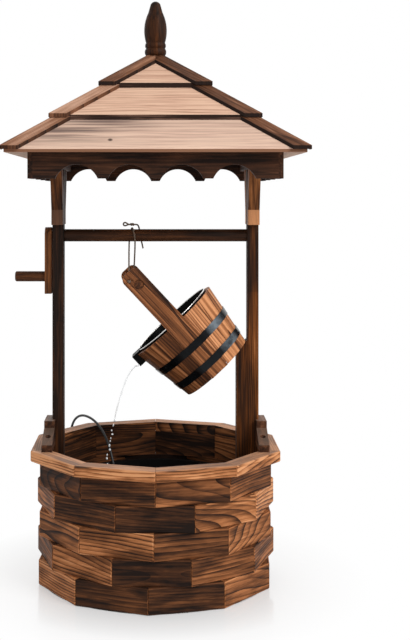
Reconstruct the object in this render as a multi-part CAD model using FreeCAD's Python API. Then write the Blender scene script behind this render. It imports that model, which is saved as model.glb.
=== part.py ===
import FreeCAD, Part

import math
import os

# Wishing well fountain. Millimetres, +Z up, -Y is the front, origin on the floor at the base's centre.

Vector = FreeCAD.Vector
X_AXIS = Vector(1, 0, 0)
Y_AXIS = Vector(0, 1, 0)
Z_AXIS = Vector(0, 0, 1)

# Base of stacked courses
sides = 10
base_radius = 230.0            # centre to an outer corner of a course
course_count = 5
course_height = 47.5
wall = 18.0
joint_gap = 0.4                # open hairline at each mitre
block_ease = 1.6               # chamfer round a block's outer face
course_twist = 0.2             # degrees, times the square of the courses above
rim_radius = 248.0
rim_thickness = 20.0
rim_reveal = 2.0               # rim's inner edge, back from the wall's inner face

# Tub and the battens under it
bearer_height = 22.0
bearer_width = 40.0
bearer_spacing = 170.0
tub_wall = 3.0
tub_lip_height = 188.0
tub_lip_width = 8.0
tub_lip_drop = 9.0
tub_post_gap = 2.5
tub_taper = 14.0               # radius lost from the lip to the floor
tub_floor_round = 6.0

# Posts, shoes, braces and rails
post_width = 22.0
post_depth = 30.0
post_gap = 0.3
shoe_thickness = 20.0
shoe_height = 48.0
shoe_foot = 176.0
shoe_top = 64.0
shoe_nose = 13.0               # upright part at the foot and at the top
shoe_lap = 5.7                 # how far the shoe reaches in over the post
shoe_fit = 0.2
screw_head = 4.2
screw_head_height = 3.0
screw_shank = 1.9
screw_length = 14.0
screw_recess = 5.2             # radius of the hole that the head sits in
brace_height = 107.0
brace_nose = 29.0
brace_nose_depth = 24.0
brace_seat = 61.0              # height of the brace's flat against the post
brace_lean = 21.0              # degrees from upright
rail_drop = 25.76             # rail's underside below the eave
rail_height = 25.0

# Roof
roof_rise = 171.0
roof_half_width = 266.0
roof_half_depth = 240.0
board_thickness = 9.5          # measured upright
tier_feet = [1.0, 0.70, 0.375]  # lower edges, as shares of the roof's plan
tier_overlap = 0.05            # share of the slope
roof_opening = 0.075           # share of the slope left open for the king block
hip_leaf = 22.0                # width of each leaf of a hip cap, square to the hip
hip_crown = 7.0                # cap's thickness, measured upright
hip_end_gap = 0.002            # share of the slope between a cap and the tier above
hip_overhang = 0.027           # share of the slope that a cap reaches past its tier
hip_top = 0.06
hip_mitre = 0.05
fascia_half_length = 228.0
fascia_half_depth = 205.0
fascia_thickness = 9.0
fascia_drop = 45.76           # fascia's lower edge below the eave
arch_width = 76.0
arch_rise = 25.0
arch_gap = 18.0
front_arches = 4
side_arches = 3
rafter_width = 20.0
rafter_depth = 30.0
rafter_clear = 0.057           # share of the slope kept free at the fascia
rafter_end = 0.05
king_width = 56.0
king_depth = 50.0
king_neck_radius = 14.0

# Finial
overall_height = 1118.0
finial_height = 106.0
finial_foot_radius = 21.0
finial_body_radius = 22.0
finial_neck_radius = 18.5
finial_tip_radius = 9.5
finial_pin_radius = 6.0
finial_pin_length = 30.0
pin_fit = 0.1

# Windlass
bar_drop = 153.76             # bar's axis below the eave
bar_radius = 12.0
tenon_radius = 7.0
running_gap = 0.05
shoulder_gap = 0.6
crank_gap = 1.5
crank_thickness = 13.5
crank_half_width = 16.0
crank_throw = 80.0             # bar axis to peg axis
crank_tail = 33.0              # arm beyond the peg axis
peg_radius = 10.0
peg_length = 58.3
peg_tenon_radius = 6.0
peg_ease = 2.0

# Bucket, upright in its own frame and then tipped
bucket_tilt = 43.0
bucket_drop = 257.0            # bottom centre below the bar
bucket_post_gap = 3.0
bucket_depth = 124.0
bucket_foot_radius = 76.5
bucket_mouth_radius = 96.0
stave_thickness = 9.0
staves_each_side = 7
stave_gap = 0.5
bottom_recess = 4.0
bottom_thickness = 10.0
bottom_fit = 0.3
ear_width = 40.0
ear_thickness = 12.0
ear_proud = 3.0                # ear's outer face beyond the staves
ear_length = 257.0
ear_corner = 13.0              # radius at the corners of an ear's head
ear_turn = 3.0                 # degrees that the ears are turned about the bucket's axis
ear_fit = 0.3
grip_inset = 31.0              # below the ear's head
grip_radius = 9.0
rope_hole_inset = 14.0
rope_hole_offset = 9.0         # beside the ear's middle, and the other way on the rear ear
rope_hole_radius = 3.2
hoop_width = 15.0
hoop_thickness = 1.4
hoop_fit = 0.2
hoop_heights = {"hoop_lower": 19.0, "hoop_upper": 63.0}
liner_wall = 2.0
liner_fit = 0.4
liner_stand = 4.0              # liner's rim above the staves
lip_width = 44.0
lip_reach = 9.0
lip_drop = 24.0

# Rope
rope_diameter = 3.2
rope_bar_gap = 0.5
rope_turn_start = -52.0        # along the bar, where the strand from the front ear meets it
rope_turn_end = -39.0
rope_turn_steps = 5
rope_knot_radius = 4.2
rope_knot_seat = 0.2
bow_knot_radius = 5.0

# Pump, hose and elbow
pump_x = 112.0
pump_length = 58.0
pump_width = 46.0
pump_height = 44.0
pump_foot = 6.0
pump_edge = 5.0
chamber_radius = 15.0
chamber_depth = 20.0
pump_cover_thickness = 8.0
pump_cover_fit = 0.2
slot_width = 3.0
slot_height = 22.0
slot_count = 5
impeller_radius = 12.5
impeller_depth = 12.0
impeller_hub = 4.0
impeller_blades = 6
blade_thickness = 1.6
shaft_radius = 1.5
shaft_length = 12.0
outlet_radius = 6.5
outlet_length = 10.0
hose_diameter = 9.0
elbow_port = 55.0              # elbow's place on the bucket bottom, from its centre
elbow_leg = 6.0
elbow_radius = 3.2
elbow_inside = 18.0
elbow_drop = 12.0
cover_width = 21.0
cover_tub_gap = 34.0
hose_lip_inset = 5.5           # hose's lean clear of the tub lip where it comes over it
channel_fit = 0.4

# Power lead
cord_diameter = 5.0
relief_length = 22.0
relief_radius = 4.5
coil_centre = Vector(-70.0, 284.0, 0.0)
coil_half_turns = 5            # in each layer
coil_outer = 34.8
coil_pitch = 5.8
coil_tail = 34.0               # straight end that keeps the plug clear of the turns
tie_thickness = 1.2
tie_width = 5.0
tie_fit = 0.3
plug_length = 36.0
plug_width = 24.0
plug_ease = 3.0
pin_length = 18.0
pin_radius = 2.4
pin_spacing = 12.0

# Places that follow from the sizes
half_side = math.pi / sides
wall_apothem = base_radius * math.cos(half_side)
wall_inner = wall_apothem - wall
wall_top = course_count * course_height
rim_apothem = rim_radius * math.cos(half_side)
rim_inner = wall_inner + rim_reveal
rim_top = wall_top + rim_thickness
twist = math.radians(course_twist * (course_count - 1) ** 2)
post_outer = (wall_inner - post_depth / 2 * math.sin(twist)) / math.cos(twist) - post_gap
post_inner = post_outer - post_width
tiers = len(tier_feet)
roof_build = roof_rise * (1 - hip_top) + tiers * board_thickness + hip_crown
finial_seat = overall_height - finial_height
eave_height = finial_seat - roof_build
rail_foot = eave_height - rail_drop
rail_top = rail_foot + rail_height
brace_foot = rail_foot - brace_height
fascia_foot = eave_height - fascia_drop
bar_height = eave_height - bar_drop
bucket_height = bar_height - bucket_drop
grip_height = ear_length - grip_inset
rope_hole_height = ear_length - rope_hole_inset
tilt = math.radians(bucket_tilt)
bucket_taper = (bucket_mouth_radius - bucket_foot_radius) / bucket_depth
bucket_x = post_inner - bucket_post_gap - bucket_foot_radius * math.cos(tilt)
bucket_place = FreeCAD.Placement(Vector(bucket_x, 0, bucket_height),
                                 FreeCAD.Rotation(Y_AXIS, -bucket_tilt))
ear_place = bucket_place.multiply(FreeCAD.Placement(Vector(0, 0, 0), FreeCAD.Rotation(Z_AXIS, ear_turn)))
tub_lip_radius = post_inner - tub_post_gap
tub_radius = tub_lip_radius - tub_lip_width
cord_lie = cord_diameter / 2 + tie_thickness + tie_fit


def box(x0, x1, y0, y1, z0, z1):
    return Part.makeBox(x1 - x0, y1 - y0, z1 - z0, Vector(x0, y0, z0))


def prism(points, along):
    """Flat outline pushed along a vector."""
    return Part.Face(Part.makePolygon(points + points[:1])).extrude(along)


def polyhedron(lower, upper):
    """Solid between two outlines with as many corners each."""
    count = len(lower)
    outlines = [lower[::-1], upper]
    for i in range(count):
        j = (i + 1) % count
        outlines.append([lower[i], lower[j], upper[j], upper[i]])
    faces = [Part.Face(Part.makePolygon(points + points[:1])) for points in outlines]
    return Part.makeSolid(Part.makeShell(faces))


def cylinder(radius, start, along):
    return Part.makeCylinder(radius, along.Length, start, along)


def mirrored_x(shape):
    return shape.mirror(Vector(0, 0, 0), X_AXIS)


def mirrored_y(shape):
    return shape.mirror(Vector(0, 0, 0), Y_AXIS)


def eased(solid, size, wanted):
    """Chamfer the edges whose middle point passes the test."""
    edges = [edge for edge in solid.Edges if wanted(edge.CenterOfMass)]
    return solid.makeChamfer(size, edges)


def tube(name, points, diameter):
    """Round cord: straight runs joined by tangent arcs as large as the runs allow."""
    edges = []
    radii = []
    start = points[0]
    for before, corner, after in zip(points, points[1:], points[2:]):
        back = before - corner
        ahead = after - corner
        half_turn = (math.pi - back.getAngle(ahead)) / 2
        reach = 0.45 * min(back.Length, ahead.Length)
        radius = reach / math.tan(half_turn)
        back.normalize()
        ahead.normalize()
        inward = back + ahead
        inward.normalize()
        arc_start = corner + back * reach
        arc_end = corner + ahead * reach
        arc_middle = corner + inward * (radius / math.cos(half_turn) - radius)
        edges.append(Part.LineSegment(start, arc_start).toShape())
        edges.append(Part.Arc(arc_start, arc_middle, arc_end).toShape())
        radii.append(radius)
        start = arc_end
    edges.append(Part.LineSegment(start, points[-1]).toShape())
    solid = swept(Part.Wire(edges), diameter)
    length = sum(edge.Length for edge in edges)
    expected = length * math.pi * diameter ** 2 / 4
    print(name, "length", round(length, 1), "radii", [round(r, 1) for r in radii],
          "volume ratio", round(solid.Volume / expected, 4))
    return solid


def swept(path, diameter):
    first = path.OrderedEdges[0]
    start = first.valueAt(first.FirstParameter)
    heading = first.tangentAt(first.FirstParameter)
    section = Part.Wire([Part.Circle(start, heading, diameter / 2).toShape()])
    return path.makePipeShell([section], True, False)


def mitred_block(apothem, inner, foot, height, angle):
    """One board of a ring, its outer face square to the given angle from the front."""
    slack = joint_gap / 2 / math.cos(half_side)
    outer_half = apothem * math.tan(half_side) - slack
    inner_half = inner * math.tan(half_side) - slack
    outline = [Vector(-outer_half, -apothem, foot), Vector(outer_half, -apothem, foot),
               Vector(inner_half, -inner, foot), Vector(-inner_half, -inner, foot)]
    block = prism(outline, Z_AXIS * height)
    block = eased(block, block_ease, lambda middle: middle.y < -apothem + 0.01)
    block.rotate(Vector(0, 0, 0), Z_AXIS, angle)
    return block


def ring(apothem, inner, foot, height, turn):
    step = 360.0 / sides
    return [mitred_block(apothem, inner, foot, height, turn + (i + 0.5) * step) for i in range(sides)]


def base_nodes():
    nodes = {}
    for number in range(1, course_count + 1):
        above = course_count - number
        turn = (above % 2) * 180.0 / sides - course_twist * above ** 2
        foot = (number - 1) * course_height
        blocks = ring(wall_apothem, wall_inner, foot, course_height, turn)
        nodes["course_%d" % number] = Part.makeCompound(blocks)
    nodes["rim"] = Part.makeCompound(ring(rim_apothem, rim_inner, wall_top, rim_thickness, 0.0))
    return nodes


def bearers():
    """Two battens across the floor, cut back to stay inside the ring of blocks."""
    half = bearer_spacing / 2
    reach = math.sqrt((wall_inner - post_gap) ** 2 - (half + bearer_width / 2) ** 2)
    batten = box(-reach, reach, -half - bearer_width / 2, -half + bearer_width / 2, 0, bearer_height)
    return Part.makeCompound([batten, mirrored_y(batten)])


def tub():
    foot = bearer_height
    floor_radius = tub_radius - tub_taper
    lip = tub_lip_height
    slope = tub_taper / (lip - foot)
    inner_top = tub_radius - tub_wall
    inner_floor = floor_radius - tub_wall + slope * tub_wall
    outline = [Vector(0, 0, foot), Vector(floor_radius, 0, foot), Vector(tub_radius, 0, lip - tub_wall),
               Vector(tub_lip_radius - tub_wall, 0, lip - tub_wall),
               Vector(tub_lip_radius - tub_wall, 0, lip - tub_lip_drop),
               Vector(tub_lip_radius, 0, lip - tub_lip_drop), Vector(tub_lip_radius, 0, lip),
               Vector(inner_top, 0, lip), Vector(inner_floor, 0, foot + tub_wall), Vector(0, 0, foot + tub_wall)]
    face = Part.Face(Part.makePolygon(outline + outline[:1]))
    shell = face.revolve(Vector(0, 0, 0), Z_AXIS, 360)
    corner = [edge for edge in shell.Edges
              if abs(edge.BoundBox.ZMax - foot) < 0.01 and edge.BoundBox.XMax > floor_radius - 0.01]
    return shell.makeFillet(tub_floor_round, corner)


def posts():
    post = box(post_inner, post_outer, -post_depth / 2, post_depth / 2, 0, rail_foot)
    bore = cylinder(tenon_radius + running_gap, Vector(post_inner - 1, 0, bar_height), X_AXIS * (post_width + 2))
    right = post.cut(bore)
    return {"post_left": mirrored_x(right), "post_right": right}


def screw_places():
    return [-(shoe_foot + shoe_top) / 4, (shoe_foot + shoe_top) / 4]


def screw_seat():
    return rim_top + screw_length + shoe_fit


def shoes():
    """Board on the rim at each post's foot, notched round the post, with a recessed screw in each shoulder."""
    inner = post_outer - shoe_lap
    head = rim_top + shoe_height
    outline = [Vector(inner, -shoe_foot / 2, rim_top), Vector(inner, shoe_foot / 2, rim_top),
               Vector(inner, shoe_foot / 2, rim_top + shoe_nose), Vector(inner, shoe_top / 2, head - shoe_nose),
               Vector(inner, shoe_top / 2, head), Vector(inner, -shoe_top / 2, head),
               Vector(inner, -shoe_top / 2, head - shoe_nose), Vector(inner, -shoe_foot / 2, rim_top + shoe_nose)]
    board = prism(outline, X_AXIS * shoe_thickness)
    half_notch = post_depth / 2 + shoe_fit
    board = board.cut(box(inner - 1, post_outer + shoe_fit, -half_notch, half_notch, rim_top - 1, head + 1))
    middle = inner + shoe_thickness / 2
    screws = []
    for y in screw_places():
        foot = Vector(middle, y, rim_top + shoe_fit)
        seat = Vector(middle, y, screw_seat())
        board = board.cut(cylinder(screw_recess, seat, Z_AXIS * shoe_height))
        board = board.cut(cylinder(screw_shank + running_gap, foot, Z_AXIS * screw_length))
        screw = cylinder(screw_shank, foot, Z_AXIS * screw_length)
        screws.append(screw.fuse(cylinder(screw_head, seat, Z_AXIS * screw_head_height)).removeSplitter())
    both = screws + [mirrored_x(screw) for screw in screws]
    return {"shoe_left": mirrored_x(board), "shoe_right": board, "shoe_screws": Part.makeCompound(both)}


def braces():
    """Leaning bars on the front and rear of each post, with an upright nose at the foot."""
    slope = math.tan(math.radians(brace_lean))
    face = -post_depth / 2
    outer_top = face - brace_nose_depth - (rail_foot - brace_foot - brace_nose) * slope
    inner_top = face - (rail_foot - brace_foot - brace_seat) * slope
    outline = [Vector(post_inner, face, brace_foot), Vector(post_inner, face, brace_foot + brace_seat),
               Vector(post_inner, inner_top, rail_foot), Vector(post_inner, outer_top, rail_foot),
               Vector(post_inner, face - brace_nose_depth, brace_foot + brace_nose),
               Vector(post_inner, face - brace_nose_depth, brace_foot)]
    front = prism(outline, X_AXIS * post_width)
    rear = mirrored_y(front)
    return {"brace_front_right": front, "brace_rear_right": rear,
            "brace_front_left": mirrored_x(front), "brace_rear_left": mirrored_x(rear)}


def rails():
    reach = fascia_half_depth - fascia_thickness
    rail = box(post_inner, post_outer, -reach, reach, rail_foot, rail_top)
    return {"rail_left": mirrored_x(rail), "rail_right": rail}


def slope_height(share):
    """Height of the roof boards' underside, at a share of the way from the peak to the eave."""
    return eave_height + roof_rise * (1 - share)


def roof_corners(share, lift):
    """The four corners of the roof at a share of its plan, lifted off the underside."""
    x = roof_half_width * share
    y = roof_half_depth * share
    z = slope_height(share) + lift
    return [Vector(-x, -y, z), Vector(x, -y, z), Vector(x, y, z), Vector(-x, y, z)]


def roof_void():
    """All the space under the roof boards."""
    peak = Vector(0, 0, slope_height(0))
    eave = roof_corners(1.0, 0.0)
    faces = [Part.Face(Part.makePolygon(eave[::-1] + eave[-1:]))]
    for i in range(4):
        faces.append(Part.Face(Part.makePolygon([eave[i], eave[(i + 1) % 4], peak, eave[i]])))
    pyramid = Part.makeSolid(Part.makeShell(faces))
    below = box(-roof_half_width, roof_half_width, -roof_half_depth, roof_half_depth, 0, eave_height)
    return pyramid.fuse(below).removeSplitter()


def tier_names():
    return ["lower", "middle", "upper"]


def roof_boards():
    """Each tier is four boards mitred at the hips, and its foot lies on the tier below."""
    nodes = {}
    for tier, name in enumerate(tier_names()):
        low = tier_feet[tier]
        high = roof_opening
        if tier + 1 < tiers:
            high = tier_feet[tier + 1] - tier_overlap
        lift = tier * board_thickness
        foot_under, foot_over = roof_corners(low, lift), roof_corners(low, lift + board_thickness)
        head_under, head_over = roof_corners(high, lift), roof_corners(high, lift + board_thickness)
        boards = []
        for i in range(4):
            j = (i + 1) % 4
            boards.append(polyhedron([foot_under[i], foot_under[j], head_under[j], head_under[i]],
                                     [foot_over[i], foot_over[j], head_over[j], head_over[i]]))
        nodes["roof_" + name] = Part.makeCompound(boards)
    return nodes


def hip_cap(low, high, lift):
    """Folded cap over the front right hip: a leaf on each slope, with ends cut along the eaves."""
    plan = math.hypot(roof_half_width, roof_half_depth)
    inward = X_AXIS * (-hip_leaf * plan / roof_half_depth)
    rearward = Y_AXIS * (hip_leaf * plan / roof_half_width)
    crown = Z_AXIS * hip_crown
    foot = roof_corners(low, lift)[1]
    head = roof_corners(high, lift)[1]
    front = [foot + inward, foot, head, head + inward]
    side = [foot, foot + rearward, head + rearward, head]
    front_leaf = polyhedron(front, [corner + crown for corner in front])
    side_leaf = polyhedron(side, [corner + crown for corner in side])
    far = 2 * roof_half_width
    quarter = box(hip_mitre, far, -far, -hip_mitre, 0, overall_height)
    return front_leaf.fuse(side_leaf).common(quarter).removeSplitter()


def hip_caps():
    nodes = {}
    for tier, name in enumerate(tier_names()):
        low = tier_feet[tier] + hip_overhang
        high = hip_top
        if tier + 1 < tiers:
            high = tier_feet[tier + 1] + hip_end_gap
        front_right = hip_cap(low, high, (tier + 1) * board_thickness)
        front = [front_right, mirrored_x(front_right)]
        nodes["hips_" + name] = Part.makeCompound(front + [mirrored_y(cap) for cap in front])
    return nodes


def arches(count, place):
    """Half-round cutters for a scalloped lower edge, centred on the board."""
    pitch = arch_width + arch_gap
    radius = (arch_width ** 2 / 4 + arch_rise ** 2) / (2 * arch_rise)
    centre = fascia_foot + arch_rise - radius
    return [place((i - (count - 1) / 2) * pitch, centre, radius) for i in range(count)]


def fascias():
    inner_y = fascia_half_depth - fascia_thickness
    inner_x = fascia_half_length - fascia_thickness
    head = slope_height(0)
    void = roof_void()

    def front_cutter(x, z, radius):
        return cylinder(radius, Vector(x, -fascia_half_depth - 1, z), Y_AXIS * (fascia_thickness + 2))

    def side_cutter(y, z, radius):
        return cylinder(radius, Vector(inner_x - 1, y, z), X_AXIS * (fascia_thickness + 2))

    front = box(-inner_x, inner_x, -fascia_half_depth, -inner_y, fascia_foot, head)
    front = front.common(void).cut(arches(front_arches, front_cutter))
    right = box(inner_x, fascia_half_length, -fascia_half_depth, fascia_half_depth, fascia_foot, head)
    right = right.common(void).cut(arches(side_arches, side_cutter))
    return {"fascia_front": front, "fascia_rear": mirrored_y(front),
            "fascia_left": mirrored_x(right), "fascia_right": right}


def rafters():
    """Bars under the four hips, from the fascia corners to the king block."""
    plan = math.hypot(roof_half_width, roof_half_depth)
    along = Vector(roof_half_width, -roof_half_depth, -roof_rise)
    across = Vector(roof_half_depth, roof_half_width, 0) / plan * (rafter_width / 2)
    top = Vector(0, 0, slope_height(0)) + along * rafter_end
    drop = Z_AXIS * rafter_depth
    foot = min((fascia_half_length - fascia_thickness) / roof_half_width,
               (fascia_half_depth - fascia_thickness) / roof_half_depth) - rafter_clear
    bar = prism([top - across, top + across, top + across - drop, top - across - drop], along * (foot - rafter_end))
    bar = bar.common(roof_void()).cut(king_body())
    front = [bar, mirrored_x(bar)]
    return Part.makeCompound(front + [mirrored_y(one) for one in front])


def king_body():
    half = king_width / 2
    head = slope_height(half / min(roof_half_width, roof_half_depth))
    return box(-half, half, -half, half, head - king_depth, head)


def king_block():
    body = king_body()
    head = body.BoundBox.ZMax
    neck = cylinder(king_neck_radius, Vector(0, 0, head), Z_AXIS * (finial_seat - head))
    bore = cylinder(finial_pin_radius + pin_fit, Vector(0, 0, finial_seat), Z_AXIS * -(finial_pin_length + pin_fit))
    return body.fuse(neck).removeSplitter().cut(bore)


def finial():
    """Turned knob: a rounded foot, a ring, and a bud that narrows to the tip."""
    foot = finial_seat
    tip = foot + finial_height
    share = finial_height / 106.0
    cap_rise = 6 * share
    cap_radius = (finial_tip_radius ** 2 + cap_rise ** 2) / (2 * cap_rise)
    cap_half = math.asin(finial_tip_radius / cap_radius) / 2
    ring_low = foot + 14 * share
    ring_high = foot + 25 * share
    widest = foot + 46 * share
    shoulder = foot + 84 * share

    def point(radius, z):
        return Vector(radius, 0, z)

    edges = [
        Part.LineSegment(point(0, foot - finial_pin_length), point(finial_pin_radius, foot - finial_pin_length)),
        Part.LineSegment(point(finial_pin_radius, foot - finial_pin_length), point(finial_pin_radius, foot)),
        Part.LineSegment(point(finial_pin_radius, foot), point(finial_neck_radius, foot)),
        Part.Arc(point(finial_neck_radius, foot), point(finial_foot_radius, (foot + ring_low) / 2),
                 point(finial_neck_radius, ring_low)),
        Part.Arc(point(finial_neck_radius, ring_low), point(finial_neck_radius + 1.8, (ring_low + ring_high) / 2),
                 point(finial_neck_radius, ring_high)),
        Part.Arc(point(finial_neck_radius, ring_high), point(finial_body_radius, widest),
                 point(finial_tip_radius + 4.5, shoulder)),
        Part.LineSegment(point(finial_tip_radius + 4.5, shoulder), point(finial_tip_radius, tip - cap_rise)),
        Part.Arc(point(finial_tip_radius, tip - cap_rise),
                 point(cap_radius * math.sin(cap_half), tip - cap_radius * (1 - math.cos(cap_half))), point(0, tip)),
        Part.LineSegment(point(0, tip), point(0, foot - finial_pin_length)),
    ]
    face = Part.Face(Part.Wire([edge.toShape() for edge in edges]))
    return face.revolve(Vector(0, 0, 0), Z_AXIS, 360)


def windlass():
    shoulder = post_inner - shoulder_gap
    bar = cylinder(bar_radius, Vector(-shoulder, 0, bar_height), X_AXIS * (2 * shoulder))
    arm_inner = -(post_outer + crank_gap)
    arm_outer = arm_inner - crank_thickness
    tenon = cylinder(tenon_radius, Vector(arm_outer, 0, bar_height), X_AXIS * (post_outer - arm_outer))
    peg_z = bar_height - crank_throw
    arm = box(arm_outer, arm_inner, -crank_half_width, crank_half_width, peg_z - crank_tail, bar_height)
    arm = arm.fuse(cylinder(crank_half_width, Vector(arm_outer, 0, bar_height), X_AXIS * crank_thickness))
    arm = arm.removeSplitter()
    arm = arm.cut(cylinder(tenon_radius + pin_fit, Vector(arm_outer - 1, 0, bar_height), X_AXIS * (crank_thickness + 2)))
    arm = arm.cut(cylinder(peg_tenon_radius + pin_fit, Vector(arm_outer - 1, 0, peg_z), X_AXIS * (crank_thickness + 2)))
    peg = cylinder(peg_radius, Vector(arm_outer - peg_length, 0, peg_z), X_AXIS * peg_length)
    peg = eased(peg, peg_ease, lambda middle: middle.x < arm_outer - peg_length + 0.01)
    peg = peg.fuse(cylinder(peg_tenon_radius, Vector(arm_outer, 0, peg_z), X_AXIS * crank_thickness))
    return {"windlass_bar": bar.fuse(tenon).removeSplitter(), "crank_arm": arm, "crank_peg": peg.removeSplitter()}


def bucket_cone(grow, low, high):
    """Solid cone with the bucket's taper, its wall moved out by grow."""
    foot = bucket_foot_radius + grow + bucket_taper * low
    head = bucket_foot_radius + grow + bucket_taper * high
    return Part.makeCone(foot, head, high - low, Vector(0, 0, low))


def ear_slab(grow, low, high):
    """Front ear as a plain slab that follows the staves' slope, grown on its sides and outer face."""
    half = ear_width / 2 + grow
    outer = bucket_foot_radius + ear_proud + grow
    inner = bucket_foot_radius + ear_proud - ear_thickness
    foot_shift = bucket_taper * low
    head_shift = bucket_taper * high
    outline = [Vector(-half, -outer - foot_shift, low), Vector(-half, -inner - foot_shift, low),
               Vector(-half, -inner - head_shift, high), Vector(-half, -outer - head_shift, high)]
    return prism(outline, X_AXIS * (2 * half))


def ear_face(height):
    """Distance of the ear's outer face from the bucket's axis."""
    return bucket_foot_radius + ear_proud + bucket_taper * height


def ears():
    """Two long staves that stand above the rim, with rounded heads, a grip hole and a rope hole."""
    half = ear_width / 2
    far = ear_face(ear_length) + 1
    plank = ear_slab(0, 0, ear_length)
    keep = box(-half, half, -far, 0, 0, ear_length - ear_corner)
    keep = keep.fuse(box(ear_corner - half, half - ear_corner, -far, 0, 0, ear_length))
    for x in (ear_corner - half, half - ear_corner):
        keep = keep.fuse(cylinder(ear_corner, Vector(x, 0, ear_length - ear_corner), Y_AXIS * -far))
    plank = plank.common(keep.removeSplitter())
    plank = plank.cut(cylinder(grip_radius + pin_fit, Vector(0, 0, grip_height), Y_AXIS * -far))
    plank = plank.cut(cylinder(rope_hole_radius, Vector(-rope_hole_offset, 0, rope_hole_height), Y_AXIS * -far))
    rear = plank.copy()
    rear.rotate(Vector(0, 0, 0), Z_AXIS, 180)
    reach = ear_face(grip_height) - ear_proud
    rod = cylinder(grip_radius, Vector(0, -reach, grip_height), Y_AXIS * (2 * reach))
    return {"ear_front": plank, "ear_rear": rear, "grip_rod": rod}


def staves():
    """Ring of tapered staves between the two ears."""
    shell = bucket_cone(0, 0, bucket_depth).cut(bucket_cone(-stave_thickness, -1, bucket_depth + 1))
    slot = ear_slab(ear_fit, -1, bucket_depth + 1)
    half = ear_width / 2 + ear_fit
    inner_slot = box(-half, half, -bucket_foot_radius, 0, -1, bucket_depth + 1)
    shell = shell.cut([slot, inner_slot, mirrored_y(slot), mirrored_y(inner_slot)])
    ear_angle = math.degrees(math.asin(half / bucket_foot_radius))
    step = (180 - 2 * ear_angle) / staves_each_side
    far = bucket_mouth_radius + 1
    cutters = []
    for i in range(1, staves_each_side):
        for side in (0, 180):
            saw = box(0, far, -stave_gap / 2, stave_gap / 2, -1, bucket_depth + 1)
            saw.rotate(Vector(0, 0, 0), Z_AXIS, side - 90 + ear_angle + i * step)
            cutters.append(saw)
    return Part.makeCompound(shell.cut(cutters).Solids)


def elbow_route():
    """Centre line of the elbow in the bucket's frame: up through the bottom, below it towards the floor."""
    bend = Vector(elbow_port, 0, -elbow_leg)
    down = Vector(-math.sin(tilt), 0, -math.cos(tilt))
    head = Vector(elbow_port, 0, bottom_recess + bottom_thickness + elbow_inside)
    return [bend + down * elbow_drop, bend, head]


def bucket_nodes():
    top = bottom_recess + bottom_thickness
    board_radius = bucket_foot_radius + bucket_taper * bottom_recess - stave_thickness - bottom_fit
    port = cylinder(elbow_radius + pin_fit, Vector(elbow_port, 0, 0), Z_AXIS * bucket_depth)
    board = cylinder(board_radius, Vector(0, 0, bottom_recess), Z_AXIS * bottom_thickness).cut(port)
    outer = -stave_thickness - liner_fit
    rim = bucket_depth + liner_stand
    cup = bucket_cone(outer, top, rim).cut(bucket_cone(outer - liner_wall, top + liner_wall, rim + 1)).cut(port)
    over = bucket_mouth_radius + lip_reach
    hook = box(-over, -bucket_mouth_radius + stave_thickness, -lip_width / 2, lip_width / 2, rim - lip_drop, rim)
    room = bucket_cone(liner_fit, rim - lip_drop - 1, bucket_depth + liner_fit)
    mouth = bucket_cone(outer - liner_wall, top, rim + 1)
    cup = cup.fuse(hook.cut([room, mouth])).removeSplitter()
    nodes = {"bucket_staves": staves(), "bucket_bottom": board, "bucket_liner": cup}
    for name, low in hoop_heights.items():
        high = low + hoop_width
        band_out = bucket_cone(hoop_fit + hoop_thickness, low, high)
        band_in = bucket_cone(hoop_fit, low - 1, high + 1)
        swell = ear_slab(hoop_fit + hoop_thickness, low, high)
        swell_in = ear_slab(hoop_fit, low - 1, high + 1)
        band = band_out.fuse([swell, mirrored_y(swell)])
        core = bucket_cone(-stave_thickness, low - 1, high + 1)
        nodes[name] = band.cut([band_in, swell_in, mirrored_y(swell_in), core])
    nodes["hose_elbow"] = elbow()
    nodes.update(ears())
    for name, shape in nodes.items():
        place = ear_place
        if name in ("bucket_bottom", "bucket_liner", "hose_elbow"):
            place = bucket_place
        shape.Placement = place.multiply(shape.Placement)
    return nodes


def elbow():
    foot, bend, head = elbow_route()
    turn = (math.pi - (foot - bend).getAngle(head - bend)) / 2
    reach = 0.9 * elbow_leg
    radius = reach / math.tan(turn)
    back = (foot - bend).normalize()
    ahead = (head - bend).normalize()
    inward = (back + ahead).normalize()
    arc = Part.Arc(bend + back * reach, bend + inward * (radius / math.cos(turn) - radius), bend + ahead * reach)
    path = [Part.LineSegment(foot, bend + back * reach), arc, Part.LineSegment(bend + ahead * reach, head)]
    return swept(Part.Wire([piece.toShape() for piece in path]), 2 * elbow_radius)


def rope_ends():
    """Places where the rope leaves the outer faces of the two ears, and a point inside each ear."""
    outside = ear_face(rope_hole_height) + rope_knot_seat
    inside = ear_face(rope_hole_height) - ear_thickness - 10.0
    offset = rope_hole_offset
    ends = [Vector(-offset, -outside, rope_hole_height), Vector(-offset, -inside, rope_hole_height),
            Vector(offset, inside, rope_hole_height), Vector(offset, outside, rope_hole_height)]
    return [ear_place.multVec(end) for end in ends]


def rope_route():
    """From the front ear, once round the bar, to the rear ear."""
    front_out, front_in, rear_in, rear_out = rope_ends()
    radius = bar_radius + rope_bar_gap + rope_diameter / 2

    def bearing(point):
        return math.atan2(point.z - bar_height, point.y)

    def tangent_span(point):
        return math.acos(radius / math.hypot(point.y, point.z - bar_height))

    first = bearing(front_in) + tangent_span(front_in)
    last = bearing(rear_in) - tangent_span(rear_in) + 2 * math.pi
    step = (last - first) / rope_turn_steps
    reach = radius / math.cos(step / 2)
    turn = []
    for i in range(rope_turn_steps):
        angle = first + (i + 0.5) * step
        x = rope_turn_start + (rope_turn_end - rope_turn_start) * i / (rope_turn_steps - 1)
        turn.append(Vector(x, reach * math.cos(angle), bar_height + reach * math.sin(angle)))
    return [front_out, front_in] + turn + [rear_in, rear_out]


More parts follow.
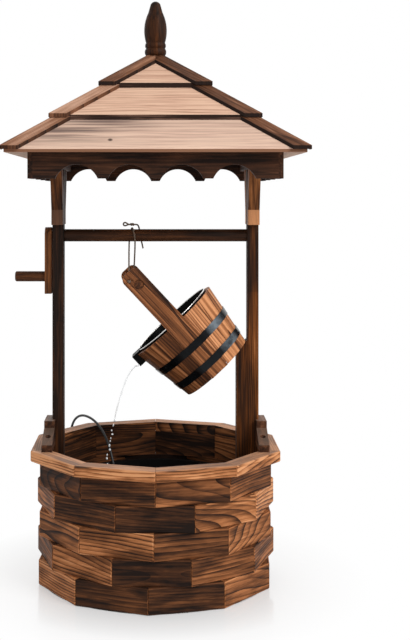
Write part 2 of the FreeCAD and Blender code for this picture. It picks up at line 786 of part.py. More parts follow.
def knot(centre, flat_side, flat_distance, radius):
    """Ball knot with a flat where the rope comes out of it."""
    ball = Part.makeSphere(radius, centre)
    block = cylinder(radius + 1, centre + flat_side * flat_distance, flat_side * (radius + 1))
    return ball.cut(block)


def rope_nodes():
    ends = rope_ends()
    flat = rope_knot_radius * 0.7
    front = knot(ends[0] - Y_AXIS * flat, Y_AXIS, flat, rope_knot_radius)
    rear = knot(ends[3] + Y_AXIS * flat, Y_AXIS * -1, flat, rope_knot_radius)
    over = bar_height + bar_radius + rope_bar_gap + 1.15 * rope_diameter
    middle = (rope_turn_start + rope_turn_end) / 2
    heart = Vector(middle, 0, over + bow_knot_radius)
    flat = bow_knot_radius * 0.7
    bow_knot = knot(heart, X_AXIS * -1, flat, bow_knot_radius)
    bow_knot = bow_knot.cut(cylinder(bow_knot_radius + 1, heart + X_AXIS * flat, X_AXIS * (bow_knot_radius + 1)))
    left = heart - X_AXIS * flat
    right = heart + X_AXIS * flat
    bow = [left + Vector(0, -1.7, 0), left + Vector(-4.5, -1.7, 0), left + Vector(-9, -2.4, 4.2),
           left + Vector(-13.5, -0.6, 3), left + Vector(-13.8, 2.6, -1.8), left + Vector(-9.5, 4.2, -3),
           left + Vector(-4.5, 2.2, 0), left + Vector(0, 2.2, 0)]
    tail = [right, right + Vector(4.5, 0, 0), right + Vector(8, 8, -1.5), right + Vector(10, 14.5, -8),
            right + Vector(11.5, 18, -17), right + Vector(13, 17.5, -28), right + Vector(15.5, 15.5, -38),
            right + Vector(17.5, 15, -47)]
    return {"rope_sling": tube("rope_sling", rope_route(), rope_diameter),
            "rope_knots": Part.makeCompound([front, rear, bow_knot]),
            "rope_bow": tube("rope_bow", bow, rope_diameter),
            "rope_tail": tube("rope_tail", tail, rope_diameter)}


def pump_place():
    """Centre of the pump's base on the tub floor."""
    return Vector(pump_x, 0, bearer_height + tub_wall)


def pump():
    """Housing with a round chamber at its front, a slotted cover over it, and the impeller in between."""
    floor = pump_place()
    half_length = pump_length / 2
    half_width = pump_width / 2
    foot = floor.z
    body = box(pump_x - half_length, pump_x + half_length, -half_width + pump_cover_thickness, half_width,
               foot + pump_foot, foot + pump_foot + pump_height)
    body = body.makeFillet(pump_edge, [edge for edge in body.Edges
                                       if edge.BoundBox.YLength > pump_width / 2])
    for sign in (-1, 1):
        pad = cylinder(pump_foot, Vector(pump_x + sign * half_length / 2, pump_cover_thickness / 2, foot),
                       Z_AXIS * (pump_foot + 1))
        body = body.fuse(pad)
    axis_z = foot + pump_foot + pump_height / 2
    face = -half_width + pump_cover_thickness
    chamber = cylinder(chamber_radius, Vector(pump_x, face, axis_z), Y_AXIS * chamber_depth)
    bearing = cylinder(shaft_radius + running_gap, Vector(pump_x, face + chamber_depth, axis_z), Y_AXIS * shaft_length)
    top = foot + pump_foot + pump_height
    outlet = cylinder(outlet_radius, Vector(pump_x, 0, top - 1), Z_AXIS * (outlet_length + 1))
    relief = Part.makeCone(relief_radius, cord_diameter / 2 + 0.6, relief_length,
                           Vector(pump_x - half_length, half_width / 2, axis_z), X_AXIS * -1)
    body = body.fuse([outlet, relief]).removeSplitter().cut([chamber, bearing])
    cover = box(pump_x - half_length, pump_x + half_length, -half_width, face - pump_cover_fit,
                foot + pump_foot, foot + pump_foot + pump_height)
    cover = cover.makeFillet(pump_edge, [edge for edge in cover.Edges
                                         if edge.BoundBox.YLength > pump_cover_thickness / 2])
    pitch = 2 * slot_width
    for i in range(slot_count):
        x = pump_x + (i - (slot_count - 1) / 2) * pitch
        cover = cover.cut(box(x - slot_width / 2, x + slot_width / 2, -half_width - 1, face + 1,
                              axis_z - slot_height / 2, axis_z + slot_height / 2))
    return {"pump_body": body, "pump_cover": cover, "impeller": impeller(face, axis_z)}


def impeller(face, axis_z):
    back = face + chamber_depth - 1.0
    hub_start = Vector(pump_x, back, axis_z)
    wheel = cylinder(impeller_hub, hub_start, Y_AXIS * -impeller_depth)
    for i in range(impeller_blades):
        blade = box(pump_x, pump_x + impeller_radius, back - impeller_depth, back,
                    axis_z - blade_thickness / 2, axis_z + blade_thickness / 2)
        blade.rotate(Vector(pump_x, 0, axis_z), Y_AXIS, i * 360.0 / impeller_blades)
        wheel = wheel.fuse(blade)
    shaft = cylinder(shaft_radius, hub_start - Y_AXIS, Y_AXIS * (shaft_length - 1.0))
    return wheel.fuse(shaft).removeSplitter()


def hose_top():
    return bucket_place.multVec(elbow_route()[0])


def riser_hose():
    """From the pump's outlet up the channel to the elbow under the bucket."""
    outlet = pump_place() + Z_AXIS * (pump_foot + pump_height + outlet_length)
    top = hose_top()
    shift = top.x - outlet.x
    lip = tub_lip_height
    points = [outlet, outlet + Vector(0, 0, 22), outlet + Vector(shift * 0.3, 0, 52),
              outlet + Vector(shift * 0.7, 0, 80), Vector(top.x - hose_lip_inset, 0, lip + 2),
              Vector(top.x, 0, lip + 28), Vector(top.x, 0.4, lip + 80), top]
    return tube("riser_hose", points, hose_diameter)


def hose_cover():
    """Grooved stick on the right post that hides the hose, its head cut to the bucket's bottom."""
    foot = tub_lip_height + cover_tub_gap
    inner = post_inner - cover_width
    stick = box(inner, post_inner, -post_depth / 2, post_depth / 2, foot, bar_height)
    above = box(-bucket_depth * 2, bucket_depth * 2, -post_depth, post_depth, 0, bucket_depth * 4)
    above.Placement = bucket_place.multiply(above.Placement)
    half = hose_diameter / 2 + channel_fit
    channel = box(hose_top().x - half, post_inner + 1, -half, half, foot - 1, bar_height + 1)
    port = cylinder(elbow_radius + channel_fit, Vector(elbow_port, 0, -3 * elbow_leg), Z_AXIS * (4 * elbow_leg))
    port.Placement = bucket_place.multiply(port.Placement)
    return stick.cut([above, channel, port])


def cord_route():
    """From the pump, over the rim at the rear left, down to the floor and behind the base to the coil."""
    exit_point = Vector(pump_x - pump_length / 2 - relief_length, pump_width / 4,
                        bearer_height + tub_wall + pump_foot + pump_height / 2)
    coil_start = coil_centre + Vector(-cord_diameter, -coil_outer, cord_lie)
    return [exit_point, exit_point - X_AXIS * 21, Vector(12, 22, 44), Vector(-14, 36, 36), Vector(-42, 52, 38),
            Vector(-62, 68, 60), Vector(-72, 77, 102), Vector(-78, 83, 150), Vector(-85, 91, 196),
            Vector(-96, 108, 233), Vector(-111, 130, 259), Vector(-131, 153, 276), Vector(-156, 179, 280),
            Vector(-175, 199, 263), Vector(-183, 212, 222), Vector(-185, 218, 172), Vector(-186, 221, 122),
            Vector(-186, 224, 74), Vector(-180, 232, 36), Vector(-164, 241, 12), Vector(-138, 246, cord_lie + 0.6),
            Vector(-106, coil_start.y + 1.0, cord_lie), coil_start]


def coil_path():
    """Spiral in on the floor, a climb of half a turn, and the spiral out on top, as half-turn arcs."""
    step = coil_pitch / 2
    lift = cord_diameter + coil_pitch / 10
    start = coil_centre + Vector(0, -coil_outer, cord_lie)
    edges = [Part.LineSegment(start - X_AXIS * cord_diameter, start).toShape()]
    heading = 1.0
    point = start
    radius = coil_outer

    def half_turn(point, radius, heading):
        side = Vector(radius * heading, radius * heading, 0)
        end = point + Vector(0, 2 * radius * heading, 0)
        edges.append(Part.Arc(point, point + side, end).toShape())
        return end

    for _ in range(coil_half_turns):
        point = half_turn(point, radius, heading)
        heading = -heading
        radius -= step
    climb = math.asin(lift / 2 / radius)
    inward = Vector(0, heading * math.cos(climb), math.sin(climb))
    forward = X_AXIS * heading
    centre = point + inward * radius
    crest = centre + forward * radius
    first_middle = centre + (forward - inward) * (radius * math.sqrt(0.5))
    edges.append(Part.Arc(point, first_middle, crest).toShape())
    turned = FreeCAD.Rotation(forward, 180)
    last_middle = crest + turned.multVec(first_middle - crest)
    end = crest + turned.multVec(point - crest)
    edges.append(Part.Arc(crest, last_middle, end).toShape())
    point = end
    heading = -heading
    for _ in range(coil_half_turns):
        radius += step
        point = half_turn(point, radius, heading)
        heading = -heading
    finish = point + X_AXIS * (heading * coil_tail)
    edges.append(Part.LineSegment(point, finish).toShape())
    return Part.Wire(edges), finish


def report_coil_gap(path):
    """Least gap between turns, measured on points two thirds of a turn or more apart."""
    points = path.discretize(Distance=2.0)
    spread = int(2 * math.pi * (coil_outer - coil_half_turns * coil_pitch / 2) * 0.66 / 2.0)
    nearest = min((a - b).Length for i, a in enumerate(points) for b in points[i + spread:])
    print("cord_coil length", round(path.Length, 1), "least gap", round(nearest - cord_diameter, 2))


def cord_nodes():
    path, finish = coil_path()
    report_coil_gap(path)
    lift = cord_diameter + coil_pitch / 10
    inner = coil_outer - (coil_half_turns + 1) * coil_pitch / 2 - cord_diameter / 2 - tie_fit
    outer = coil_outer + coil_pitch / 2 + cord_diameter / 2 + tie_fit
    low = tie_thickness
    high = cord_lie + lift + cord_diameter / 2 + tie_fit
    middle = coil_centre.y - coil_pitch / 4
    tie = box(coil_centre.x + inner - tie_thickness, coil_centre.x + outer + tie_thickness,
              middle - tie_width / 2, middle + tie_width / 2, 0, high + tie_thickness)
    tie = tie.cut(box(coil_centre.x + inner, coil_centre.x + outer, middle - tie_width, middle + tie_width, low, high))
    return {"power_cord": tube("power_cord", cord_route(), cord_diameter),
            "cord_coil": swept(path, cord_diameter), "cord_tie": tie, "plug": plug(finish)}


def plug(at):
    """Two-pin plug lying on the floor, its back on the cord's end."""
    half = plug_width / 2
    body = box(at.x - plug_length, at.x, at.y - half, at.y + half, 0, 2 * at.z)
    body = body.makeFillet(plug_ease, [edge for edge in body.Edges if edge.BoundBox.XLength > plug_length / 2])
    for side in (-1, 1):
        pin = cylinder(pin_radius, Vector(at.x - plug_length + 1, at.y + side * pin_spacing / 2, at.z),
                       X_AXIS * -(pin_length + 1))
        body = body.fuse(pin)
    return body.removeSplitter()


def all_nodes():
    nodes = base_nodes()
    nodes["bearers"] = bearers()
    nodes["tub"] = tub()
    for group in (posts, shoes, braces, rails, roof_boards, hip_caps, fascias, windlass,
                  bucket_nodes, rope_nodes, pump, cord_nodes):
        nodes.update(group())
    nodes["rafters"] = rafters()
    nodes["king_block"] = king_block()
    nodes["finial"] = finial()
    nodes["riser_hose"] = riser_hose()
    nodes["hose_cover"] = hose_cover()
    return nodes


os.makedirs("parts", exist_ok=True)
for name, shape in all_nodes().items():
    shape.exportStep("parts/%s.step" % name)
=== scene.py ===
import math
import random

import bmesh
import bpy
from mathutils import Matrix, Vector


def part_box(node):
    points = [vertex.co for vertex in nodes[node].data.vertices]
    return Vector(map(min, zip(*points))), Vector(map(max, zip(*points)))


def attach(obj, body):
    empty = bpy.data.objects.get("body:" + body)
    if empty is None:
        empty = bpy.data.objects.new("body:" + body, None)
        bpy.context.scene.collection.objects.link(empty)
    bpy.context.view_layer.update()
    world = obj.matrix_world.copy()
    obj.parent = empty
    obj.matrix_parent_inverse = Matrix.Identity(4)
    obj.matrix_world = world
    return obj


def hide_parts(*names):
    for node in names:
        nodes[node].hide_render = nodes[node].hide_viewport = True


# Wishing well fountain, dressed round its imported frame. Metres, +Z up, -Y is the front.

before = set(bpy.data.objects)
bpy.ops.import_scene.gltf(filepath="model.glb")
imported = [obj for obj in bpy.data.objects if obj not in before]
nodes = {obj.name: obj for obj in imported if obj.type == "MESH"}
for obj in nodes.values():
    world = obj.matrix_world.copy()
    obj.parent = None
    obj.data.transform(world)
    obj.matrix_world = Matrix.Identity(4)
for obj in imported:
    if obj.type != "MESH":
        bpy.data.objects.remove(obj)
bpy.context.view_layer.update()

MM = 0.001
ROOT = "well"

# Camera, as fitted to the photograph
IMAGE_WIDTH = 410
IMAGE_HEIGHT = 640
FOCAL_PIXELS = 1190.5
AXIS_PIXEL = 155.5             # image column straight ahead of the camera
HORIZON_PIXEL = 195.0
CAMERA_PLACE = Vector((0.0, -2.323, 0.7406))
SENSOR = 36.0

# Sizes of the well, as in its solids
SIDES = 10
COURSES = 5
COURSE_HEIGHT = 47.5 * MM
COURSE_TWIST = 0.2             # degrees, times the square of the courses above
WALL_FACE = 230.0 * MM * math.cos(math.pi / SIDES)
WALL_INNER = WALL_FACE - 18.0 * MM
RIM_MIDDLE = COURSES * COURSE_HEIGHT + 10.0 * MM
ROOF_HALF_WIDTH = 266.0 * MM
ROOF_HALF_DEPTH = 240.0 * MM
BRACE_NOSE = 29.0 * MM
BUCKET_TILT = math.radians(43.0)
BUCKET_DEPTH = 124.0 * MM
BUCKET_FOOT_RADIUS = 76.5 * MM
BUCKET_MOUTH_RADIUS = 96.0 * MM
BUCKET_TAPER = (BUCKET_MOUTH_RADIUS - BUCKET_FOOT_RADIUS) / BUCKET_DEPTH
BUCKET_HEIGHT = 405.0 * MM
BUCKET_POST_GAP = 3.0 * MM
STAVE_THICKNESS = 9.0 * MM
STAVES_EACH_SIDE = 7
EAR_HALF_WIDTH = 20.3 * MM
EAR_PROUD = 3.0 * MM
EAR_THICKNESS = 12.0 * MM
EAR_TURN = math.radians(3.0)   # ears and staves, about the bucket's axis
ROPE_HOLE_HEIGHT = 243.0 * MM
ROPE_HOLE_OFFSET = 9.0 * MM
LINER_STAND = 4.0 * MM
LINER_FIT = 0.4 * MM
LINER_WALL = 2.0 * MM
LINER_FLOOR = 16.0 * MM
LIP_HALF_WIDTH = 22.0 * MM
LIP_REACH = 9.0 * MM
LIP_DROP = 24.0 * MM
TUB_WALL = 3.0 * MM
TUB_LIP_WIDTH = 8.0 * MM
TUB_TAPER = 14.0 * MM          # radius lost from the lip to the foot
BAR_RADIUS = 12.0 * MM
BAR_HEIGHT = 662.0 * MM
ROPE_DIAMETER = 3.2 * MM
ROPE_TURN_START = -52.0 * MM
ROPE_TURN_END = -39.0 * MM
ROPE_BAR_GAP = 0.5 * MM
CORD_DIAMETER = 5.0 * MM
HOSE_DIAMETER = 9.0 * MM

# Water
WATER_LEVEL = 165.0 * MM       # below the tub's lip, over the pump
WATER_GAP = 0.2 * MM           # between still water and the wall that holds it
POOL_RISE = 26.0 * MM          # water in the tipped bucket, above its foot
STREAM_SPEED = 0.32            # sideways, metres a second
STREAM_BREAK = 300.0 * MM      # height where the stream falls apart into drops
WATER_IOR = 1.33
GRAVITY = 9.81

post_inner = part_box("post_right")[0][0]
bucket_x = post_inner - BUCKET_POST_GAP - BUCKET_FOOT_RADIUS * math.cos(BUCKET_TILT)
bucket_foot = Vector((bucket_x, 0.0, BUCKET_HEIGHT))
bucket_matrix = Matrix.Translation(bucket_foot) @ Matrix.Rotation(-BUCKET_TILT, 4, "Y")
ear_matrix = bucket_matrix @ Matrix.Rotation(EAR_TURN, 4, "Z")


def stain(red, green, blue):
    """Colour as seen on screen, 0 to 255, as the linear colour that a shader takes."""
    def linear(value):
        share = value / 255.0
        if share <= 0.04045:
            return share / 12.92
        return ((share + 0.055) / 1.055) ** 2.4
    return (linear(red), linear(green), linear(blue), 1.0)


def stains(*shades):
    """Several colours, each as red, green and blue."""
    return [stain(*shade) for shade in shades]


def faded(shade, toward, share):
    """A colour part of the way to another."""
    return tuple(start + (end - start) * share for start, end in zip(shade, toward))


# Stains, from fresh to charred
BLOCK_STAIN = stains((222, 157, 108), (178, 114, 70), (121, 74, 43), (69, 41, 24), (26, 15, 10))
ROOF_STAIN = stains((234, 194, 166), (214, 171, 146), (182, 140, 116), (130, 96, 80), (38, 23, 16))
TRIM_STAIN = stains((204, 160, 134), (162, 116, 89), (112, 72, 49), (68, 41, 26), (29, 16, 10))
POST_STAIN = stains((208, 140, 90), (142, 88, 48), (96, 56, 28), (56, 32, 18), (24, 14, 8))
WARM_STAIN = stains((208, 140, 90), (146, 86, 42), (100, 54, 20), (58, 30, 11), (26, 13, 6))
BUCKET_STAIN = stains((222, 156, 108), (184, 121, 78), (134, 82, 48), (82, 48, 28), (36, 21, 14))
INSIDE_STAIN = stains((196, 152, 116), (160, 116, 84), (122, 84, 60), (84, 56, 40), (48, 32, 24))
DUST_AND_SHEEN = stain(186, 158, 138)
FRESH_CUT = stain(212, 148, 102)
BROWN_CUT = stain(112, 80, 63)
GREY_WEATHER = stain(118, 99, 91)
KNOT = stain(52, 34, 26)
EAVE_EDGE_BROWN = stain(118, 74, 46)
SUN = stain(224, 200, 186)
WEATHERED_STAIN = [faded(shade, SUN, 0.35) for shade in ROOF_STAIN]
WHITE = (1.0, 1.0, 1.0, 1.0)

# Tone of each block, round by the left from the rear
BLOCK_TONES = {
    1: (0.45, 0.70, 0.50, 0.42, 0.86, 0.78, 0.56, 0.60, 0.75, 0.50),
    2: (0.75, 0.50, 0.72, 0.47, 0.88, 0.65, 0.55, 0.65, 0.40, 0.60),
    3: (0.50, 0.65, 0.44, 0.44, 0.46, 0.68, 0.48, 0.50, 0.70, 0.45),
    4: (0.60, 0.45, 0.52, 0.70, 0.86, 0.48, 0.32, 0.70, 0.55, 0.75),
    5: (0.55, 0.70, 0.60, 0.65, 0.74, 0.62, 0.58, 0.60, 0.45, 0.70),
}
RIM_TONES = (0.34, 0.30, 0.26, 0.17, 0.28, 0.34, 0.22, 0.26, 0.32, 0.28)

# Tone of each hip cap: front left, front right, rear left, rear right
HIP_TONES = {"hips_lower": (0.24, 0.56, 0.50, 0.42), "hips_middle": (0.08, 0.64, 0.46, 0.60),
             "hips_upper": (0.50, 0.54, 0.58, 0.44)}

# Noise: how fast it changes, each metre, in wood along the grain and across it
BEND_SCALE = (5.0, 18.0, 18.0)
FIBRE_SCALE = (12.0, 460.0, 460.0)
STREAK_SCALE = (6.0, 140.0, 140.0)
BURN_SCALE = (8.0, 34.0, 34.0)
WEATHER_SCALE = (3.4, 42.0, 42.0)
HAIR_SCALE = (900.0, 900.0, 300.0)
RIPPLE_SCALE = (90.0, 90.0, 90.0)

# Stained wood
TIMBER_RINGS = 4.4 * MM        # spacing of the rings in sawn timber
BUCKET_STRETCH = 0.4           # lengthens the grain along the bucket
MARK_MEANS = {"Ring": 0.19, "Fibre": 0.5, "Streak": 0.5, "Burn": 0.4}
FIBRE_SHARE = 0.6              # strength of the fibres, as a share of the streaks'
RINGS_FADE = (0.35, 0.8)       # tones between which the rings fade
RINGS_LEFT = 0.25              # share of the rings that dark wood still shows
FIBRE_RELIEF = -0.5
FIBRE_GLOSS = 0.1              # change of roughness with the fibres
WOOD_SPECULAR = 0.12
WOOD_RELIEF = 0.5 * MM


def math_method(operation):
    """Method of a field that places one math node."""
    def place(field, other=0.0):
        return field.graph.math(operation, field, other)
    return place


class Field:
    """A node's output, which changes over the surface. Sums on it place the nodes that they need."""

    __add__ = math_method("ADD")
    __sub__ = math_method("SUBTRACT")
    __mul__ = math_method("MULTIPLY")
    __truediv__ = math_method("DIVIDE")
    __pow__ = math_method("POWER")
    __gt__ = math_method("GREATER_THAN")
    __lt__ = math_method("LESS_THAN")
    __abs__ = math_method("ABSOLUTE")
    floor = math_method("FLOOR")
    fraction = math_method("FRACT")
    sign = math_method("SIGN")

    def __init__(self, graph, socket):
        self.graph = graph
        self.socket = socket

    def __neg__(self):
        return self * -1.0


class Graph:
    """Short ways to place and join the nodes of one tree."""

    def __init__(self, tree):
        self.tree = tree

    def fill(self, node, inputs):
        """Links fields to a node's inputs, and sets plain values."""
        for name, value in inputs.items():
            if isinstance(value, Field):
                self.tree.links.new(value.socket, node.inputs[name])
            else:
                node.inputs[name].default_value = value

    def put(self, kind, inputs=None, **settings):
        """Places a node."""
        node = self.tree.nodes.new(kind)
        for name, value in settings.items():
            setattr(node, name, value)
        self.fill(node, inputs or {})
        return node

    def get(self, output, kind, inputs=None, **settings):
        """Places a node and gives one of its outputs."""
        return Field(self, self.put(kind, inputs, **settings).outputs[output])

    def fields(self, node):
        """All outputs of a node, by name."""
        return {socket.name: Field(self, socket) for socket in node.outputs}

    def group(self, tree, **inputs):
        return self.fields(self.put("ShaderNodeGroup", inputs, node_tree=tree))

    def place(self):
        return self.get("Object", "ShaderNodeTexCoord")

    def true_normal(self):
        return self.get("True Normal", "ShaderNodeNewGeometry")

    def height(self):
        return self.split(self.place())[2]

    def math(self, operation, first, second=0.0):
        return self.get(0, "ShaderNodeMath", {0: first, 1: second}, operation=operation)

    def hypot(self, first, second):
        return self.math("SQRT", first ** 2.0 + second ** 2.0)

    def vector(self, operation, first, second):
        return self.get(0, "ShaderNodeVectorMath", {0: first, 1: second}, operation=operation)

    def split(self, vector):
        return list(self.fields(self.put("ShaderNodeSeparateXYZ", {0: vector})).values())

    def join(self, x, y, z):
        return self.get(0, "ShaderNodeCombineXYZ", {0: x, 1: y, 2: z})

    def turn(self, vector, axis, angle):
        inputs = {"Vector": vector, "Angle": angle}
        return self.get(0, "ShaderNodeVectorRotate", inputs, rotation_type=axis + "_AXIS")

    def noise(self, vector, scales, detail, roughness):
        stretched = self.vector("MULTIPLY", vector, scales)
        inputs = {"Vector": stretched, "Scale": 1.0, "Detail": detail, "Roughness": roughness}
        return self.get(0, "ShaderNodeTexNoise", inputs)

    def chance(self, value, output="Value"):
        """A value from 0 to 1, or a colour of three, that seems drawn by lot."""
        return self.get(output, "ShaderNodeTexWhiteNoise", {"W": value}, noise_dimensions="1D")

    def remap(self, value, low, high, to_low=0.0, to_high=1.0):
        inputs = {"Value": value, "From Min": low, "From Max": high, "To Min": to_low, "To Max": to_high}
        return self.get(0, "ShaderNodeMapRange", inputs)

    def spread(self, share, low, high):
        """A share from 0 to 1 as a value between two others."""
        return self.remap(share, 0.0, 1.0, low, high)

    def blend(self, share, first, second):
        """Mix of two colours."""
        return self.get(2, "ShaderNodeMix", {0: share, 6: first, 7: second}, data_type="RGBA")

    def pick(self, share, first, second):
        """One of two vectors."""
        return self.get(1, "ShaderNodeMix", {0: share, 4: first, 5: second}, data_type="VECTOR")

    def ramp(self, value, stops, interpolation="LINEAR"):
        node = self.put("ShaderNodeValToRGB", {0: value})
        band = node.color_ramp
        band.interpolation = interpolation
        band.elements.remove(band.elements[1])
        band.elements[0].position, band.elements[0].color = stops[0]
        for place, shade in stops[1:]:
            band.elements.new(place).color = shade
        return Field(self, node.outputs[0])

    def relief(self, shader, height, strength, distance):
        """Roughens a shader by a height."""
        inputs = {"Height": height, "Strength": strength, "Distance": distance}
        self.fill(shader, {"Normal": self.get(0, "ShaderNodeBump", inputs)})


def add_socket(tree, direction, label):
    kind = "Vector" if label == "Vector" else "Float"
    tree.interface.new_socket(label, in_out=direction, socket_type="NodeSocket" + kind)


def open_group(name, *inputs):
    """New shader group. Gives its graph and its named inputs, plain numbers apart from a Vector."""
    graph = Graph(bpy.data.node_groups.new(name, "ShaderNodeTree"))
    for label in inputs:
        add_socket(graph.tree, "INPUT", label)
    return graph, graph.fields(graph.put("NodeGroupInput"))


def close_group(graph, **outputs):
    """Gives a shader group its outputs."""
    for label in outputs:
        add_socket(graph.tree, "OUTPUT", label)
    graph.put("NodeGroupOutput", outputs)
    return graph.tree


def make_timber_group():
    """Sawn softwood whose grain runs along X, from a piece's own middle. Chance sets where the pith
    lies, so that some pieces show straight lines and others arches, and Rings is their spacing."""
    scatter = (5.0, 3.0, 4.0)      # sets pieces apart in the noise
    draws = 57.3                   # sets their chance values apart
    pith_depth = (-90.0 * MM, -15.0 * MM)
    pith_height = (-70.0 * MM, 70.0 * MM)
    most_lean = 0.55
    most_bend = 8.0 * MM
    faintest_ring = 0.45
    graph, given = open_group("timber", "Vector", "Chance", "Rings")
    draw = graph.chance(given["Chance"] * draws, "Color")
    depth, height, lean = graph.split(draw)
    x, y, z = graph.split(given["Vector"])
    place = graph.vector("ADD", given["Vector"], graph.vector("MULTIPLY", draw, scatter))
    lean = graph.spread(lean, -most_lean, most_lean) ** 3.0 * x
    from_pith = y - graph.spread(depth, *pith_depth) + lean
    beside_pith = z - graph.spread(height, *pith_height)
    bend = graph.spread(graph.noise(place, BEND_SCALE, detail=1.0, roughness=0.5), -most_bend, most_bend)
    count = (graph.hypot(from_pith, beside_pith) + bend) / given["Rings"]
    weight = graph.spread(graph.chance(count.floor()), faintest_ring, 1.0)
    return close_group(
        graph, Ring=count.fraction() ** 3.0 * weight,
        Fibre=graph.remap(graph.noise(place, FIBRE_SCALE, detail=3.0, roughness=0.6), 0.3, 0.7),
        Streak=graph.remap(graph.noise(place, STREAK_SCALE, detail=2.0, roughness=0.5), 0.32, 0.68),
        Burn=graph.remap(graph.noise(place, BURN_SCALE, detail=4.0, roughness=0.6), 0.38, 0.66))


def make_block_group():
    """A place on a ring of mitred blocks as that block's own grain, with a chance value and a share of
    the round for the block, and masks for its eased edges and its inner face."""
    courses_apart = 431.0          # sets their chance values apart
    eased = (0.4, 0.95)            # how far an eased edge looks outward
    graph, given = open_group("block grain", "Turn", "Middle")
    x, y, z = graph.split(graph.place())
    step = 2 * math.pi / SIDES
    sector = ((graph.math("ARCTAN2", x, -y) - given["Turn"]) / step).floor()
    back = -((sector + 0.5) * step + given["Turn"])
    along, inward, _ = graph.split(graph.turn(graph.place(), "Z", back))
    depth = -inward
    number = graph.math("FLOORED_MODULO", sector + SIDES / 2, SIDES)
    outward = -graph.split(graph.turn(graph.true_normal(), "Z", back))[1]
    return close_group(
        graph, Vector=graph.join(along, depth - WALL_FACE, z - given["Middle"]),
        Chance=graph.chance(number + given["Middle"] * courses_apart), Share=(number + 0.5) / SIDES,
        Edge=(outward > eased[0]) * (outward < eased[1]),
        Inside=graph.remap(depth, WALL_INNER + 3.0 * MM, WALL_INNER + 1.0 * MM))


def bucket_place(graph):
    """A place on the tipped bucket along its own axes, its radius and its depth from the staves' face."""
    offset = graph.vector("SUBTRACT", graph.place(), tuple(bucket_foot))
    x, y, z = graph.split(graph.turn(offset, "Y", BUCKET_TILT))
    radius = graph.hypot(x, y)
    return x, y, z, radius, radius - (z * BUCKET_TAPER + BUCKET_FOOT_RADIUS)


def make_stave_group():
    """A place on the tipped bucket as grain along its stave, with a chance value for each stave and how
    far it lies to the right, from -1 to 1."""
    sides_apart = 31.7             # sets their chance values apart
    graph, _ = open_group("stave grain")
    x, y, z, radius, depth = bucket_place(graph)
    angle = graph.math("ARCTAN2", x, -y) - EAR_TURN
    ear = math.asin(EAR_HALF_WIDTH / BUCKET_FOOT_RADIUS)
    step = (math.pi - 2 * ear) / STAVES_EACH_SIDE
    place = (abs(angle) - ear) / step
    number = place.floor()
    beside = (place - number - 0.5) * step * radius
    return close_group(
        graph, Vector=graph.join(z * BUCKET_STRETCH, depth, beside),
        Chance=graph.chance(number + angle.sign() * sides_apart), Right=x / radius)


def make_roof_group():
    """Grain along each roof board: across the front and rear slopes, and front to back on the sides."""
    sides_apart = 4.0
    graph, _ = open_group("roof grain")
    x, y, z = graph.split(graph.place())
    on_side = abs(x) / ROOF_HALF_WIDTH > abs(y) / ROOF_HALF_DEPTH
    board = (x.sign() + sides_apart) * on_side + y.sign() * (on_side < 0.5)
    return close_group(graph, Vector=graph.pick(on_side, graph.place(), graph.join(y, x, z)),
                       Chance=graph.chance(board))


def make_hip_group():
    """Grain along the four hips, with a chance value and a share for each: front left, front right, rear
    left, rear right."""
    hips = 4
    graph, _ = open_group("hip grain")
    x, y, _ = graph.split(graph.place())
    plan = math.hypot(ROOF_HALF_WIDTH, ROOF_HALF_DEPTH)
    wide = ROOF_HALF_WIDTH / plan
    deep = ROOF_HALF_DEPTH / plan
    along = abs(x) * wide + abs(y) * deep
    across = abs(x) * deep - abs(y) * wide
    corner = (x > 0.0) + (y > 0.0) * 2.0
    return close_group(graph, Vector=graph.join(along, across, 0.0), Chance=graph.chance(corner),
                       Share=(corner + 0.5) / hips)


def make_facing_group():
    """Masks for faces that look up, where dust and a painted sheen lie, and for faces that look up or down
    less than a limit.
    """
    graph, given = open_group("facing", "Limit")
    _, _, up = graph.split(graph.true_normal())
    return close_group(graph, Dust=graph.remap(up, 0.6, 0.95), Side=abs(up) < given["Limit"])


def make_mottle_group():
    """Faint spots in a coat, so many in a metre."""
    graph, given = open_group("mottle", "Spots")
    noise = graph.noise(graph.place(), given["Spots"], detail=4.0, roughness=0.6)
    return close_group(graph, Mottle=graph.remap(noise, 0.3, 0.7))


def make_ripple_group():
    """Small waves on water."""
    graph, _ = open_group("ripple")
    return close_group(graph, Height=graph.noise(graph.place(), RIPPLE_SCALE, detail=2.0, roughness=0.5))


TIMBER = make_timber_group()
BLOCK_GRAIN = make_block_group()
STAVE_GRAIN = make_stave_group()
ROOF_GRAIN = make_roof_group()
HIP_GRAIN = make_hip_group()
FACING = make_facing_group()
MOTTLE = make_mottle_group()
RIPPLE = make_ripple_group()


def new_material(name):
    """Fresh material with a Principled shader. Gives the material, its graph and the shader node."""
    material = bpy.data.materials.new(name)
    material.use_nodes = True
    return material, Graph(material.node_tree), material.node_tree.nodes["Principled BSDF"]


def dress(material, *names):
    """Gives carried-over solids their material."""
    for name in names:
        nodes[name].data.materials.clear()
        nodes[name].data.materials.append(material)


def grain_of(tree, **values):
    """Grain by a shader group."""
    def build(graph):
        return graph.group(tree, **values)
    return build


def grain_along(axis, piece, chance, depth=1.0):
    """Grain along one axis of a straight piece, from its middle. With a small depth the lines run straight
    down faces that slope."""
    low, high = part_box(piece)
    middle = (Vector(low) + Vector(high)) / 2

    def build(graph):
        x, y, z = graph.split(graph.vector("SUBTRACT", graph.place(), tuple(middle)))
        along, across, deep = {"X": (x, y, z), "Y": (y, x, z), "Z": (z, x, y)}[axis]
        return {"Vector": graph.join(along, across, deep * depth), "Chance": chance}
    return build


def grain_up_ear(seed):
    """Grain along an ear of the tipped bucket."""
    def build(graph):
        x, _, z, _, depth = bucket_place(graph)
        return {"Vector": graph.join(z * BUCKET_STRETCH, depth, x), "Chance": graph.chance(seed)}
    return build


